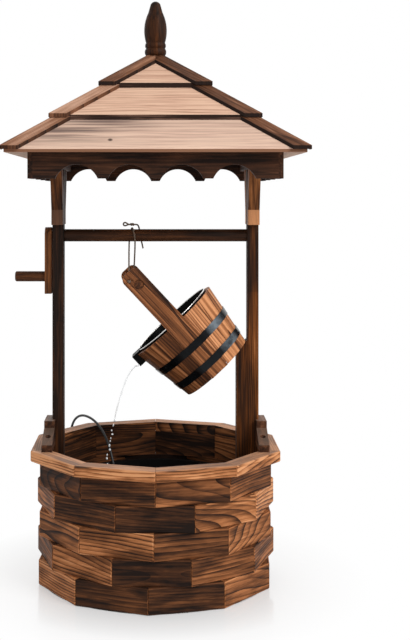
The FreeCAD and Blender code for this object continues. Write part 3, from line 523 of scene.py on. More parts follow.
class WoodFinish:
    """Stained wood of one piece. Its tone runs from 0, the lightest shade, to 1, charred."""

    def __init__(self, piece, grain, rings):
        self.piece = piece
        name = piece.replace("_", " ").capitalize() + " stain"
        self.material, self.graph, self.shader = new_material(name)
        self.grain = grain(self.graph)
        self.timber = self.graph.group(TIMBER, Vector=self.grain["Vector"], Chance=self.grain["Chance"],
                                       Rings=rings)
        self.tints = []

    def tones(self, values):
        """One tone for each block or cap of the piece."""
        stops = [(i / len(values), (value, value, value, 1.0)) for i, value in enumerate(values)]
        return self.graph.ramp(self.grain["Share"], stops, "CONSTANT")

    def streak(self, tone, ring, streak, burn):
        """Sets the tone, a number or a field, and how much rings, streaks and burnt patches change it.
        Rings fade on dark wood."""
        ring = self.graph.remap(tone, *RINGS_FADE, ring, ring * RINGS_LEFT)
        shares = {"Ring": ring, "Fibre": streak * FIBRE_SHARE, "Streak": streak, "Burn": burn}
        for label, share in shares.items():
            tone = (self.timber[label] - MARK_MEANS[label]) * share + tone
        self.tone = tone

    def darken(self, mask, change):
        self.tone = self.tone + mask * change

    def tint(self, mask, share, shade):
        self.tints.append((mask * share, shade))

    def sides(self, limit):
        """1 on faces that look up or down less than a limit."""
        return self.graph.group(FACING, Limit=limit)["Side"]

    def dust_and_sheen(self, share):
        """Grey bloom on faces that look up: dust, and a painted sheen from the light above."""
        self.tint(self.graph.group(FACING)["Dust"], share, DUST_AND_SHEEN)

    def finish(self, shades, roughness, relief=0.5):
        """Colours the tone with shades, and dresses the piece."""
        graph = self.graph
        fibre = self.timber["Fibre"]
        last = len(shades) - 1
        colour = graph.ramp(self.tone, [(i / last, shade) for i, shade in enumerate(shades)])
        for mask, shade in self.tints:
            colour = graph.blend(mask, colour, shade)
        gloss = graph.spread(fibre, roughness - FIBRE_GLOSS, roughness + FIBRE_GLOSS)
        graph.fill(self.shader, {"Base Color": colour, "Roughness": gloss,
                                 "Specular IOR Level": WOOD_SPECULAR})
        graph.relief(self.shader, self.timber["Ring"] + fibre * FIBRE_RELIEF, relief, WOOD_RELIEF)
        dress(self.material, self.piece)


def coated(name, dark, light, rough, spots, metallic=0.0, specular=0.5, painted_sheen=None):
    """Plastic, paint, rubber or metal with a faint mottle in colour and gloss, stronger where a painted sheen
    mask lifts it towards the light colour. Rough is the range of its roughness, and spots says how many there
    are in a metre."""
    material, graph, shader = new_material(name)
    mottle = graph.group(MOTTLE, Spots=spots)["Mottle"]
    if painted_sheen:
        mottle = mottle * painted_sheen(graph)
    graph.fill(shader, {"Base Color": graph.blend(mottle, dark, light), "Metallic": metallic,
                        "Roughness": graph.spread(mottle, *rough), "Specular IOR Level": specular})
    graph.relief(shader, mottle, strength=0.2, distance=0.3 * MM)
    return material


def water(name, tint, transmission, roughness):
    """Rippled water, dark and still or clear and falling."""
    material, graph, shader = new_material(name)
    graph.relief(shader, graph.group(RIPPLE)["Height"], strength=0.35, distance=2.0 * MM)
    graph.fill(shader, {"Base Color": tint, "Roughness": roughness, "IOR": WATER_IOR,
                        "Transmission Weight": transmission})
    return material


def ease(names, width):
    """Rounds the sharp edges of carried-over solids a little, as sanding does."""
    for name in names:
        piece = nodes[name]
        weld = piece.modifiers.new("Weld", "WELD")
        weld.merge_threshold = 0.02 * MM
        bevel = piece.modifiers.new("Eased edges", "BEVEL")
        bevel.width = width
        bevel.segments = 2
        bevel.limit_method = "ANGLE"
        bevel.angle_limit = math.radians(35)
        bevel.harden_normals = True


def course_turn(number):
    """Angle of a course's first mitre, so that each course breaks the joints of the next."""
    above = COURSES - number
    return math.radians((above % 2) * 180.0 / SIDES - COURSE_TWIST * above ** 2)


def dress_base():
    """Blocks of the five courses, and the rim's boards with dust and a painted sheen on top."""
    for number in range(1, COURSES + 1):
        grain = grain_of(BLOCK_GRAIN, Turn=course_turn(number), Middle=(number - 0.5) * COURSE_HEIGHT)
        blocks = WoodFinish("course_%d" % number, grain, rings=4.6 * MM)
        blocks.streak(blocks.tones(BLOCK_TONES[number]), ring=0.95, streak=0.25, burn=0.4)
        # Eased outer edges lighter: partly wear, partly a painted highlight where they catch the light.
        blocks.darken(blocks.grain["Edge"], -0.14)
        # Painted shade: the blocks' inner faces are darkened.
        blocks.darken(blocks.grain["Inside"], 0.18)
        blocks.finish(BLOCK_STAIN, roughness=0.62, relief=0.7)
    boards = WoodFinish("rim", grain_of(BLOCK_GRAIN, Turn=0.0, Middle=RIM_MIDDLE), rings=4.2 * MM)
    boards.streak(boards.tones(RIM_TONES), ring=0.85, streak=0.36, burn=0.52)
    # Painted shade: the rim boards' inner faces are darkened heavily.
    boards.darken(boards.grain["Inside"], 0.9)
    # Dust and painted sheen: the rim's up-facing faces turn greyish and lighter.
    boards.dust_and_sheen(0.35)
    boards.finish(BLOCK_STAIN, roughness=0.62, relief=0.7)


def dress_roof():
    """Three tiers of boards with their hip caps. The lowest tier has weathered most."""
    tiers = (("roof_lower", 0.12, 0.0, WEATHERED_STAIN), ("roof_middle", 0.13, 0.95, ROOF_STAIN),
             ("roof_upper", 0.17, 0.95, ROOF_STAIN))
    for name, tone, edge, shades in tiers:
        boards = WoodFinish(name, grain_of(ROOF_GRAIN), rings=5.0 * MM)
        boards.streak(tone, ring=0.46, streak=0.34, burn=0.2)
        sides = boards.sides(0.3)
        # Painted shade: board edges are darkened, nearly to char on the upper tiers, for the dark step under
        # each tier.
        boards.darken(sides, edge)
        if name == "roof_lower":
            weather(boards, sides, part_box(name)[0][2])
        boards.finish(shades, roughness=0.6, relief=0.35)
    for name, tones in HIP_TONES.items():
        caps = WoodFinish(name, grain_of(HIP_GRAIN), rings=3.0 * MM)
        caps.streak(caps.tones(tones), ring=0.35, streak=0.3, burn=0.3)
        # Painted shade: the caps' side faces are darkened.
        caps.darken(caps.sides(0.5), 0.5)
        caps.finish(TRIM_STAIN, roughness=0.58)


def weather(boards, sides, eave):
    """Marks on the lowest roof boards: grey streaks, thick round one patch left of the middle and washed off
    near the eave, a small knot in the front board, and a darker brown along the eave's edge faces."""
    patch = -130.0 * MM
    knot_x = -80.0 * MM
    knot_z = 838.0 * MM
    knot_stretch = 1.7
    eave_edge_band = 5.5 * MM
    strength = 0.9
    graph = boards.graph
    x, y, z = graph.split(graph.place())
    noise = graph.noise(boards.grain["Vector"], WEATHER_SCALE, detail=3.0, roughness=0.55)
    streaks = graph.remap(noise, 0.36, 0.52)
    flecks = graph.remap(boards.timber["Streak"], 0.1, 0.7, 0.35, 1.0)
    near_patch = graph.remap(abs(x - patch), 50.0 * MM, 150.0 * MM, 1.0, 0.25)
    off_eave = graph.remap(z, eave + 14.0 * MM, eave + 28.0 * MM, 0.1, 1.0)
    boards.tint(streaks * flecks * near_patch * off_eave, strength, GREY_WEATHER)
    off_knot = graph.hypot((x - knot_x) / knot_stretch, z - knot_z)
    boards.tint(graph.remap(off_knot, 3.2 * MM, 1.4 * MM) * (y < 0.0), strength, KNOT)
    # The eave's edge faces are tinted darker brown.
    boards.tint(sides * (z < eave + eave_edge_band), strength, EAVE_EDGE_BROWN)


def dress_hidden():
    """Bare wood inside: the battens under the tub, and the rafters and king block in the roof."""
    hidden = (("bearers", grain_along("X", "bearers", 0.31), 2.6 * MM, 0.5),
              ("rafters", grain_of(HIP_GRAIN), 2.8 * MM, 0.45),
              ("king_block", grain_along("Z", "king_block", 0.4), 2.8 * MM, 0.45))
    for name, grain, rings, tone in hidden:
        wood = WoodFinish(name, grain, rings)
        wood.streak(tone, ring=0.3, streak=0.2, burn=0.2)
        wood.finish(INSIDE_STAIN, roughness=0.7)


def dress_timbers():
    """Plain timbers, uprights with a change of stain part of the way up, braces and shoes."""
    # Piece, axis of its grain, chance, stain and tone
    plain = (
        ("finial", "Z", 0.13, WARM_STAIN, 0.80), ("fascia_front", "X", 0.21, TRIM_STAIN, 0.89),
        ("fascia_rear", "X", 0.77, TRIM_STAIN, 0.87), ("fascia_left", "Y", 0.36, TRIM_STAIN, 0.87),
        ("fascia_right", "Y", 0.58, TRIM_STAIN, 0.87), ("rail_left", "Y", 0.27, POST_STAIN, 0.75),
        ("rail_right", "Y", 0.83, POST_STAIN, 0.72), ("windlass_bar", "X", 0.44, POST_STAIN, 0.80),
        ("crank_arm", "Z", 0.66, POST_STAIN, 0.53), ("crank_peg", "X", 0.91, POST_STAIN, 0.70))
    for name, axis, chance, shades, tone in plain:
        timber = WoodFinish(name, grain_along(axis, name, chance), TIMBER_RINGS)
        timber.streak(tone, ring=0.5, streak=0.24, burn=0.26)
        timber.finish(shades, roughness=0.58)
    fade = 100.0 * MM
    # Piece, chance, stain, tones at the foot, below the change and above it, and height of the change
    uprights = (
        ("post_left", 0.62, POST_STAIN, (0.86, 0.86, 0.92), 495.0 * MM),
        ("post_right", 0.18, WARM_STAIN, (0.54, 0.78, 0.86), 553.0 * MM),
        ("hose_cover", 0.49, WARM_STAIN, (0.74, 0.74, 0.76), 553.0 * MM))
    for name, chance, shades, (foot, below, above), change in uprights:
        upright = WoodFinish(name, grain_along("Z", name, chance), TIMBER_RINGS)
        height = upright.graph.height()
        tone = upright.graph.remap(height, change - fade, change, foot, below)
        tone = tone + (height > change) * (above - below)
        upright.streak(tone, ring=0.6, streak=0.42, burn=0.2)
        upright.finish(shades, roughness=0.58)
    for side, tone, cut, shoe_chance in (("left", 0.62, BROWN_CUT, 0.42), ("right", 0.44, FRESH_CUT, 0.30)):
        for end, chance in (("front", 0.35), ("rear", 0.72)):
            name = "brace_%s_%s" % (end, side)
            brace = WoodFinish(name, grain_along("Z", name, chance, depth=0.1), TIMBER_RINGS)
            brace.streak(tone, ring=0.4, streak=0.4, burn=0.3)
            nose_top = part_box(name)[0][2] + BRACE_NOSE
            brace.tint(brace.graph.height() < nose_top, 0.64, cut)
            brace.finish(POST_STAIN, roughness=0.6)
        name = "shoe_" + side
        shoe = WoodFinish(name, grain_along("Y", name, shoe_chance), rings=2.6 * MM)
        shoe.streak(0.78, ring=0.36, streak=0.3, burn=0.3)
        # Dust and painted sheen on the shoe's top.
        shoe.dust_and_sheen(0.2)
        shoe.finish(TRIM_STAIN, roughness=0.62)


def dress_bucket():
    """Staves, lighter towards the right as painted light from that side, with the ears, bottom board and grip
    rod.
    """
    staves = WoodFinish("bucket_staves", grain_of(STAVE_GRAIN), rings=3.6 * MM)
    spread = staves.graph.spread(staves.grain["Chance"], -0.08, 0.08)
    # Painted light: the staves' tone runs from darker on the left to lighter on the right, where the key
    # light falls.
    side = staves.graph.remap(staves.grain["Right"], -0.2, 0.4, 0.60, 0.32)
    staves.streak(spread + side, ring=0.7, streak=0.4, burn=0.3)
    staves.finish(BUCKET_STAIN, roughness=0.55)
    for name, seed in (("ear_front", 4), ("ear_rear", 5)):
        ear = WoodFinish(name, grain_up_ear(seed), rings=4.0 * MM)
        ear.streak(0.58, ring=0.8, streak=0.4, burn=0.3)
        ear.finish(BUCKET_STAIN, roughness=0.55)
    # The grip rod is set much darker than the bottom board, partly as painted shade for the shadow round its
    # end in the ear's hole.
    for name, tone in (("bucket_bottom", 0.55), ("grip_rod", 0.82)):
        piece = WoodFinish(name, grain_along("Y", name, tone), rings=2.4 * MM)
        piece.streak(tone, ring=0.4, streak=0.3, burn=0.3)
        piece.finish(BUCKET_STAIN, roughness=0.58)


def ease_wood():
    """Sawn timber and hip caps lose their sharp edges."""
    sawn = ["course_%d" % number for number in range(1, COURSES + 1)]
    for side in ("left", "right"):
        sawn += [kind + side for kind in ("post_", "shoe_", "rail_", "brace_front_", "brace_rear_")]
    sawn += ["rim", "hose_cover", "crank_arm", "ear_front", "ear_rear", "finial"]
    ease(sawn, 0.9 * MM)
    ease(HIP_TONES, 0.6 * MM)


def hoop_painted_sheen(graph):
    """Painted sheen on the hoops: their colour turns bright on the right, short of where they meet the post,
    where the key light would glint.
    """
    x, _, _, radius, _ = bucket_place(graph)
    right = x / radius
    return graph.remap(right, 0.4, 0.66, 0.06, 2.2) * graph.remap(right, 0.76, 0.92, 1.0, 0.05)


def dress_hardware():
    """Plastic, paint, steel and rubber."""
    black = stains((7, 7, 8), (14, 14, 15))
    plastic = coated("Black plastic", *black, rough=(0.3, 0.45), spots=60.0, specular=0.15)
    dress(plastic, "hose_elbow", "plug")
    liner = coated("Liner plastic", *black, rough=(0.3, 0.45), spots=60.0, specular=0.04)
    dress(liner, "bucket_liner")
    tub = coated("Tub plastic", *stains((5, 5, 5), (11, 11, 11)), rough=(0.4, 0.6), spots=40.0, specular=0.08)
    dress(tub, "tub")
    pump = coated("Pump plastic", *stains((20, 21, 24), (34, 35, 38)), rough=(0.4, 0.6), spots=120.0)
    dress(pump, "pump_body", "pump_cover", "impeller")
    # Painted sheen: the hoops' light colour shows only on their right side, standing in for a highlight.
    paint = coated("Hoop paint", *stains((5, 5, 6), (108, 117, 124)), rough=(0.2, 0.35), spots=20.0,
                   metallic=0.5, specular=0.15, painted_sheen=hoop_painted_sheen)
    dress(paint, "hoop_upper", "hoop_lower")
    steel = coated("Screw steel", *stains((64, 58, 52), (110, 104, 96)), rough=(0.35, 0.55), spots=300.0,
                   metallic=0.9)
    dress(steel, "shoe_screws")
    tie = coated("Tie rubber", *stains((18, 18, 19), (30, 30, 31)), rough=(0.5, 0.7), spots=200.0)
    dress(tie, "cord_tie")


def add_object(name, data):
    """Puts an object into the scene."""
    thing = bpy.data.objects.new(name, data)
    bpy.context.scene.collection.objects.link(thing)
    return thing


def new_piece(name, data, material):
    """Piece of the well, from a curve or a bmesh."""
    if isinstance(data, bmesh.types.BMesh):
        data = finished_mesh(name, data)
    piece = add_object(name, data)
    data.materials.append(material)
    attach(piece, ROOT)
    return piece


def finished_mesh(name, mesh):
    """Smooth mesh from a bmesh, which is used up."""
    bmesh.ops.recalc_face_normals(mesh, faces=mesh.faces)
    data = bpy.data.meshes.new(name)
    mesh.to_mesh(data)
    mesh.free()
    for face in data.polygons:
        face.use_smooth = True
    return data


def cord_curve(name, route, diameter):
    """One smooth open spline with a route's points as its control points, as a round cord."""
    curve = bpy.data.curves.new(name, "CURVE")
    curve.dimensions = "3D"
    curve.resolution_u = 10
    curve.bevel_depth = diameter / 2
    curve.bevel_resolution = 5
    curve.use_fill_caps = True
    spline = curve.splines.new("NURBS")
    spline.points.add(len(route) - 1)
    for point, place in zip(spline.points, route):
        point.co = (*place, 1.0)
    spline.order_u = 3
    spline.use_endpoint_u = True
    return curve


def spline_points(route):
    """Points along the smooth spline of a route."""
    curve = cord_curve("route", route, 0.0)
    piece = add_object("route", curve)
    mesh = bpy.data.meshes.new_from_object(piece)
    points = [vertex.co.copy() for vertex in mesh.vertices]
    bpy.data.objects.remove(piece)
    bpy.data.curves.remove(curve)
    bpy.data.meshes.remove(mesh)
    return points


def even_steps(points, spacing):
    """The same line with points a set distance apart."""
    line = [points[0]]
    carried = 0.0
    for start, end in zip(points, points[1:]):
        length = (end - start).length
        place = spacing - carried
        while place <= length:
            line.append(start.lerp(end, place / length))
            place += spacing
        carried = length - (place - spacing)
    line.append(points[-1])
    return line


def line_frames(points):
    """A side and an up vector at each point, carried along without twist."""
    frames = []
    side = None
    for i in range(len(points)):
        tangent = (points[min(i + 1, len(points) - 1)] - points[max(i - 1, 0)]).normalized()
        if side is None:
            side = tangent.orthogonal()
        side = (side - tangent * side.dot(tangent)).normalized()
        frames.append((side, tangent.cross(side)))
    return frames


def round_angles(count):
    """Angles of even steps once round."""
    return [2 * math.pi * i / count for i in range(count)]


def add_tube(mesh, points, radii, corners):
    """Adds a closed tube along points to a bmesh."""
    rings = []
    for point, radius, (side, up) in zip(points, radii, line_frames(points)):
        rings.append([mesh.verts.new(point + (side * math.cos(angle) + up * math.sin(angle)) * radius)
                      for angle in round_angles(corners)])
    join_rings(mesh, rings)


def join_rings(mesh, rings):
    """Skins a row of rings and closes its ends."""
    corners = len(rings[0])
    for ring, following in zip(rings, rings[1:]):
        for i in range(corners):
            j = (i + 1) % corners
            mesh.faces.new((ring[i], ring[j], following[j], following[i]))
    mesh.faces.new(rings[0][::-1])
    mesh.faces.new(rings[-1])


def rope_fibre():
    """Material of hemp rope, with fine hairs in colour and relief."""
    fibre, graph, shader = new_material("Rope fibre")
    hair = graph.noise(graph.place(), HAIR_SCALE, detail=3.0, roughness=0.6)
    shades = [(0.3, stain(58, 46, 38)), (0.5, stain(108, 90, 76)), (0.72, stain(158, 140, 120))]
    graph.fill(shader, {"Base Color": graph.ramp(hair, shades), "Roughness": 0.9})
    graph.relief(shader, hair, strength=0.6, distance=0.4 * MM)
    return fibre


def lay_rope(name, route, fibre):
    """Three twisted strands along a route's spline. Gives the piece and the line that it follows."""
    lay_length = 7.0 * MM
    spacing = 0.5 * MM
    strands = 3
    corners = 7
    strand_radius = 0.27 * ROPE_DIAMETER
    offset = ROPE_DIAMETER / 2 - strand_radius
    line = even_steps(spline_points(route), spacing)
    frames = line_frames(line)
    mesh = bmesh.new()
    for strand in range(strands):
        points = []
        for i, (point, (side, up)) in enumerate(zip(line, frames)):
            angle = 2 * math.pi * (strand / strands + i * spacing / lay_length)
            points.append(point + (side * math.cos(angle) + up * math.sin(angle)) * offset)
        add_tube(mesh, points, [strand_radius] * len(points), corners)
    return new_piece(name, mesh, fibre), line


def rope_ends():
    """Places on the rope holes: outside the front ear, inside it, inside the rear ear and outside that."""
    seat = 0.2 * MM
    clear = 10.0 * MM
    face = BUCKET_FOOT_RADIUS + EAR_PROUD + BUCKET_TAPER * ROPE_HOLE_HEIGHT
    outside = face + seat
    inside = face - EAR_THICKNESS - clear
    places = [(-ROPE_HOLE_OFFSET, -outside), (-ROPE_HOLE_OFFSET, -inside), (ROPE_HOLE_OFFSET, inside),
              (ROPE_HOLE_OFFSET, outside)]
    return [ear_matrix @ Vector((x, y, ROPE_HOLE_HEIGHT)) for x, y in places]


def sling_route():
    """From the front ear, once round the bar, to the rear ear."""
    front_out, front_in, rear_in, rear_out = rope_ends()
    radius = BAR_RADIUS + ROPE_BAR_GAP + ROPE_DIAMETER / 2
    turns = 5

    def bearing(point):
        return math.atan2(point.z - BAR_HEIGHT, point.y)

    def span(point):
        return math.acos(radius / math.hypot(point.y, point.z - BAR_HEIGHT))

    first = bearing(front_in) + span(front_in)
    last = bearing(rear_in) - span(rear_in) + 2 * math.pi
    step = (last - first) / turns
    reach = radius / math.cos(step / 2)
    route = [front_out, front_in]
    for i in range(turns):
        angle = first + (i + 0.5) * step
        x = ROPE_TURN_START + (ROPE_TURN_END - ROPE_TURN_START) * i / (turns - 1)
        route.append(Vector((x, reach * math.cos(angle), BAR_HEIGHT + reach * math.sin(angle))))
    return route + [rear_in, rear_out]


def add_knot(mesh, centre, size):
    """Overhand knot drawn tight, as one thick closed line."""
    steps = 60
    corners = 8
    radius = 0.47 * ROPE_DIAMETER
    flatness = 1.3
    points = []
    for i in range(steps + 1):
        t = 2 * math.pi * i / steps
        points.append(centre + Vector((math.sin(t) + 2 * math.sin(2 * t), math.cos(t) - 2 * math.cos(2 * t),
                                       -flatness * math.sin(3 * t))) * size)
    add_tube(mesh, points, [radius] * len(points), corners)


def make_rope():
    """Sling from ear to ear round the bar, with stopper knots, and a bow and its tail over the bar."""
    fibre = rope_fibre()
    ends = rope_ends()
    stopper_size = 0.8 * MM
    bow_knot_size = 1.1 * MM
    knot_out = Vector((0.0, 2.6 * MM, 0.0))
    over = BAR_HEIGHT + BAR_RADIUS + ROPE_BAR_GAP + 1.15 * ROPE_DIAMETER
    heart = Vector(((ROPE_TURN_START + ROPE_TURN_END) / 2, 0.0, over + 5.0 * MM))
    knot_side = Vector((3.5 * MM, 0.0, 0.0))

    sling, line = lay_rope("Rope_sling", sling_route(), fibre)
    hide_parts("rope_sling")
    mesh = bmesh.new()
    add_knot(mesh, ends[0] - knot_out, stopper_size)
    add_knot(mesh, ends[3] + knot_out, stopper_size)
    add_knot(mesh, heart, bow_knot_size)
    knots = new_piece("Rope_knots", mesh, fibre)
    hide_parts("rope_knots")

    # Millimetres from each side of the bow's knot
    bow_steps = [(0, -1.7, 0), (-4.5, -1.7, 0), (-9, -2.4, 4.2), (-13.5, -0.6, 3), (-13.8, 2.6, -1.8),
                 (-9.5, 4.2, -3), (-4.5, 2.2, 0), (0, 2.2, 0)]
    tail_steps = [(0, 0, 0), (4.5, 0, 0), (8, 8, -1.5), (10, 14.5, -8), (11.5, 18, -17), (13, 17.5, -28),
                  (15.5, 15.5, -38), (17.5, 15, -47)]
    for name, start, steps, far_end, lay in (("Rope_bow", heart - knot_side, bow_steps, "knot", "loose"),
                                             ("Rope_tail", heart + knot_side, tail_steps, "bare", "hanging")):
        piece, line = lay_rope(name, [start + Vector(step) * MM for step in steps], fibre)
        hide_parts(name.lower())


def coil_points(centre, lie):
    """Control points of the put-away coil: half turns in on the floor, a climb, and half turns out on top."""
    outer = 34.8 * MM
    step = 2.9 * MM
    lift = 5.58 * MM
    half_turns = 5
    each = 8
    points = []
    start_y = -outer
    heading = 1.0
    radii = [outer - step * k for k in range(half_turns + 1)]
    radii += radii[-2::-1]
    for number, radius in enumerate(radii):
        middle_y = start_y + radius * heading
        reach = radius / math.cos(math.pi / each / 2)
        for i in range(each):
            angle = math.pi * (i + 0.5) / each
            rise = 0.0
            if number > half_turns:
                rise = lift
            elif number == half_turns:
                rise = lift * (1 - math.cos(angle)) / 2
            points.append(centre + Vector((reach * math.sin(angle) * heading,
                                           middle_y - reach * math.cos(angle) * heading, lie + rise)))
        start_y += 2 * radius * heading
        heading = -heading
    return points, centre + Vector((0.0, start_y, lie + lift))


def make_cord():
    """Power lead: from the pump up over the rim, down behind the base and into its coil."""
    cord_exit = Vector((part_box("pump_body")[0][0], 11.5 * MM, 53.0 * MM))
    relief = Vector((21.0 * MM, 0.0, 0.0))
    coil_centre = Vector((-70.0 * MM, 284.0 * MM, 0.0))
    coil_lie = 4.0 * MM
    tail_run = Vector((34.0 * MM, 0.0, 0.0))
    tail_start = Vector((12.0 * MM, 0.0, 0.0))
    # Millimetres from the middle of the base
    steps = [(12, 22, 44), (-14, 36, 36), (-42, 52, 38), (-62, 68, 60), (-72, 77, 102), (-78, 83, 150),
             (-85, 91, 196), (-96, 108, 233), (-111, 130, 259), (-131, 153, 276), (-156, 179, 280),
             (-175, 199, 263), (-183, 212, 222), (-185, 218, 172), (-186, 221, 122), (-186, 224, 74),
             (-180, 232, 36), (-164, 241, 12), (-138, 246, 4.6), (-106, 250.2, 4.0)]
    turns, end = coil_points(coil_centre, coil_lie)
    route = [cord_exit, cord_exit - relief] + [Vector(step) * MM for step in steps]
    route += turns + [end - tail_start, end - tail_run]
    rubber = coated("Cord rubber", *stains((14, 14, 15), (27, 27, 28)), rough=(0.4, 0.55), spots=300.0)
    cord = new_piece("Power_cord", cord_curve("Power_cord", route, CORD_DIAMETER), rubber)
    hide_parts("power_cord", "cord_coil")


def make_hose():
    """Riser hose from the pump's outlet, over the tub's lip and up its channel to the bucket's elbow."""
    outlet = Vector((112.0 * MM, 0.0, 85.0 * MM))
    elbow_port = 55.0 * MM
    elbow_leg = 6.0 * MM
    elbow_drop = 12.0 * MM
    lip = 188.0 * MM
    top = bucket_matrix @ Vector((elbow_port, 0.0, -elbow_leg)) - Vector((0.0, 0.0, elbow_drop))
    shift = top.x - outlet.x
    # Share of the shift and millimetres up, and then millimetres from the tub's lip
    climb = [(0.0, 0), (0.0, 22), (0.3, 52), (0.7, 80)]
    channel = [(-5.5, 0, 2), (0, 0, 28), (0, 0.4, 80)]
    route = [outlet + Vector((shift * share, 0.0, rise * MM)) for share, rise in climb]
    route += [Vector((top.x, 0.0, lip)) + Vector(step) * MM for step in channel] + [top]
    rubber = coated("Hose rubber", *stains((16, 17, 18), (30, 31, 32)), rough=(0.35, 0.5), spots=200.0)
    hose = new_piece("Riser_hose", cord_curve("Riser_hose", route, HOSE_DIAMETER), rubber)
    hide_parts("riser_hose")


def make_mitre_glue():
    """Dark glue in the hairlines between the blocks of the base and between the boards of the rim."""
    inner = WALL_INNER / math.cos(math.pi / SIDES) + 2.0 * MM
    outer = WALL_FACE / math.cos(math.pi / SIDES) - 4.0 * MM
    edge = 1.5 * MM
    half = 0.2 * MM
    mesh = bmesh.new()
    for number in range(1, COURSES + 2):
        low = (number - 1) * COURSE_HEIGHT + edge
        high = number * COURSE_HEIGHT - edge
        turn = course_turn(number)
        if number > COURSES:
            high = low + 2 * (RIM_MIDDLE - COURSES * COURSE_HEIGHT - edge)
            turn = 0.0
        for angle in round_angles(SIDES):
            out = Vector((math.sin(turn + angle), -math.cos(turn + angle), 0.0))
            side = Vector((math.cos(turn + angle), math.sin(turn + angle), 0.0)) * half
            line = (out * inner - side, out * outer - side, out * outer + side, out * inner + side)
            join_rings(mesh, [[mesh.verts.new(corner + Vector((0.0, 0.0, z))) for corner in line]
                              for z in (low, high)])
    glue = coated("Dried glue", *stains((24, 15, 11), (44, 28, 20)), rough=(0.6, 0.8), spots=300.0,
                  specular=0.1)
    new_piece("Mitre_glue", mesh, glue)


def make_rim_highlight_bead():
    """Pale metal bead along the liner's rim, open at the pouring lip: a painted highlight for the light that
    the black rim catches.
    """
    wire_radius = 1.2 * MM
    corners = 10
    steps = 96
    height = BUCKET_DEPTH + LINER_STAND
    radius = BUCKET_FOOT_RADIUS + BUCKET_TAPER * height - STAVE_THICKNESS - LINER_FIT - LINER_WALL / 2
    half_round = math.pi - math.asin(LIP_HALF_WIDTH / radius)
    points = []
    for i in range(steps + 1):
        angle = half_round * (2 * i / steps - 1)
        points.append(bucket_matrix @ Vector((radius * math.cos(angle), radius * math.sin(angle), height)))
    mesh = bmesh.new()
    add_tube(mesh, points, [wire_radius] * len(points), corners)
    # The bead's pale colour is a painted highlight on the liner's black rim.
    highlight_wire = coated("Rim wire", *stains((206, 205, 202), (228, 227, 224)), rough=(0.2, 0.35), spots=150.0,
                  metallic=0.85)
    new_piece("Liner_bead", mesh, highlight_wire)


def stream_place(time):
    """Falling water, a time after it leaves the pouring lip."""
    lip = Vector((-BUCKET_MOUTH_RADIUS - LIP_REACH, 0.0, BUCKET_DEPTH + LINER_STAND - LIP_DROP))
    off_lip = Vector((4.0 * MM, 0.0, 1.0 * MM))
    start = bucket_matrix @ lip - off_lip
    return start + Vector((-STREAM_SPEED * time, 0.0, -0.5 * GRAVITY * time * time))


def stream_heading(time):
    """Which way the water moves at that time."""
    moment = 0.001
    return (stream_place(time + moment) - stream_place(time)).normalized()


def fall_time(height):
    """Time at which the water has fallen to a height."""
    return math.sqrt(2 * (stream_place(0.0).z - height) / GRAVITY)


def make_water():
    """Pond in the tub, pool in the bucket, and the stream between them, which breaks into drops."""
    still = water("Still water", stain(14, 16, 17), transmission=0.0, roughness=0.05)
    stream = water("Thin stream", stain(250, 251, 252), transmission=0.85, roughness=0.06)
    # Painted highlight: the drops are near-white and mostly opaque, for the light that falling water catches.
    drops = water("Bright drops", stain(250, 251, 252), transmission=0.2, roughness=0.12)
    make_pond(still)
    make_bucket_pool(still)
    make_stream(stream)
    make_drops(drops)


def make_pond(material):
    """Surface of the water in the tub, rippled where the stream lands."""
    spokes = 72
    rings = 34
    ripple = 1.2 * MM
    ripple_length = 4.2 * MM
    ripple_fade = 60.0 * MM
    landing = stream_place(fall_time(WATER_LEVEL))
    low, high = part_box("tub")
    lean = TUB_TAPER * (high[2] - WATER_LEVEL) / (high[2] - low[2])
    edge = (high[0] - low[0]) / 2 - TUB_LIP_WIDTH - TUB_WALL - lean - WATER_GAP
    mesh = bmesh.new()
    centre = mesh.verts.new((0.0, 0.0, WATER_LEVEL))
    grid = []
    for i in range(1, rings + 1):
        ring = []
        for angle in round_angles(spokes):
            place = Vector((math.cos(angle), math.sin(angle), 0.0)) * (edge * i / rings)
            place.z = WATER_LEVEL
            distance = (place - landing).length
            place.z += ripple * math.cos(distance / ripple_length) * math.exp(-distance / ripple_fade)
            ring.append(mesh.verts.new(place))
        grid.append(ring)
    for j in range(spokes):
        k = (j + 1) % spokes
        mesh.faces.new((centre, grid[0][j], grid[0][k]))
        for inner, outer in zip(grid, grid[1:]):
            mesh.faces.new((inner[j], outer[j], outer[k], inner[k]))
    new_piece("Pond_surface", mesh, material)


def make_stream(material):
    """Unbroken part of the stream, wide at the lip and thin below."""
    steps = 30
    corners = 12
    least_width = 1.6 * MM
    least_thickness = 1.3 * MM
    flare = 9.0 * MM
    flare_fade = 6.0
    sway = 0.4 * MM
    sway_rate = 23.0
    swell = 0.3 * MM
    swell_rate = 37.0
    break_time = fall_time(STREAM_BREAK)
    mesh = bmesh.new()
    rings = []
    for i in range(steps + 1):
        share = i / steps
        place = stream_place(break_time * share)
        thin = Vector((0.0, 1.0, 0.0)).cross(stream_heading(break_time * share))
        half_width = least_width + flare * math.exp(-share * flare_fade) + sway * math.sin(share * sway_rate)
        half_thickness = least_thickness + swell * math.sin(share * swell_rate)
        ring = []
        for angle in round_angles(corners):
            across = Vector((0.0, half_width * math.cos(angle), 0.0))
            ring.append(mesh.verts.new(place + across + thin * (half_thickness * math.sin(angle))))
        rings.append(ring)
    join_rings(mesh, rings)
    new_piece("Water_stream", mesh, material)


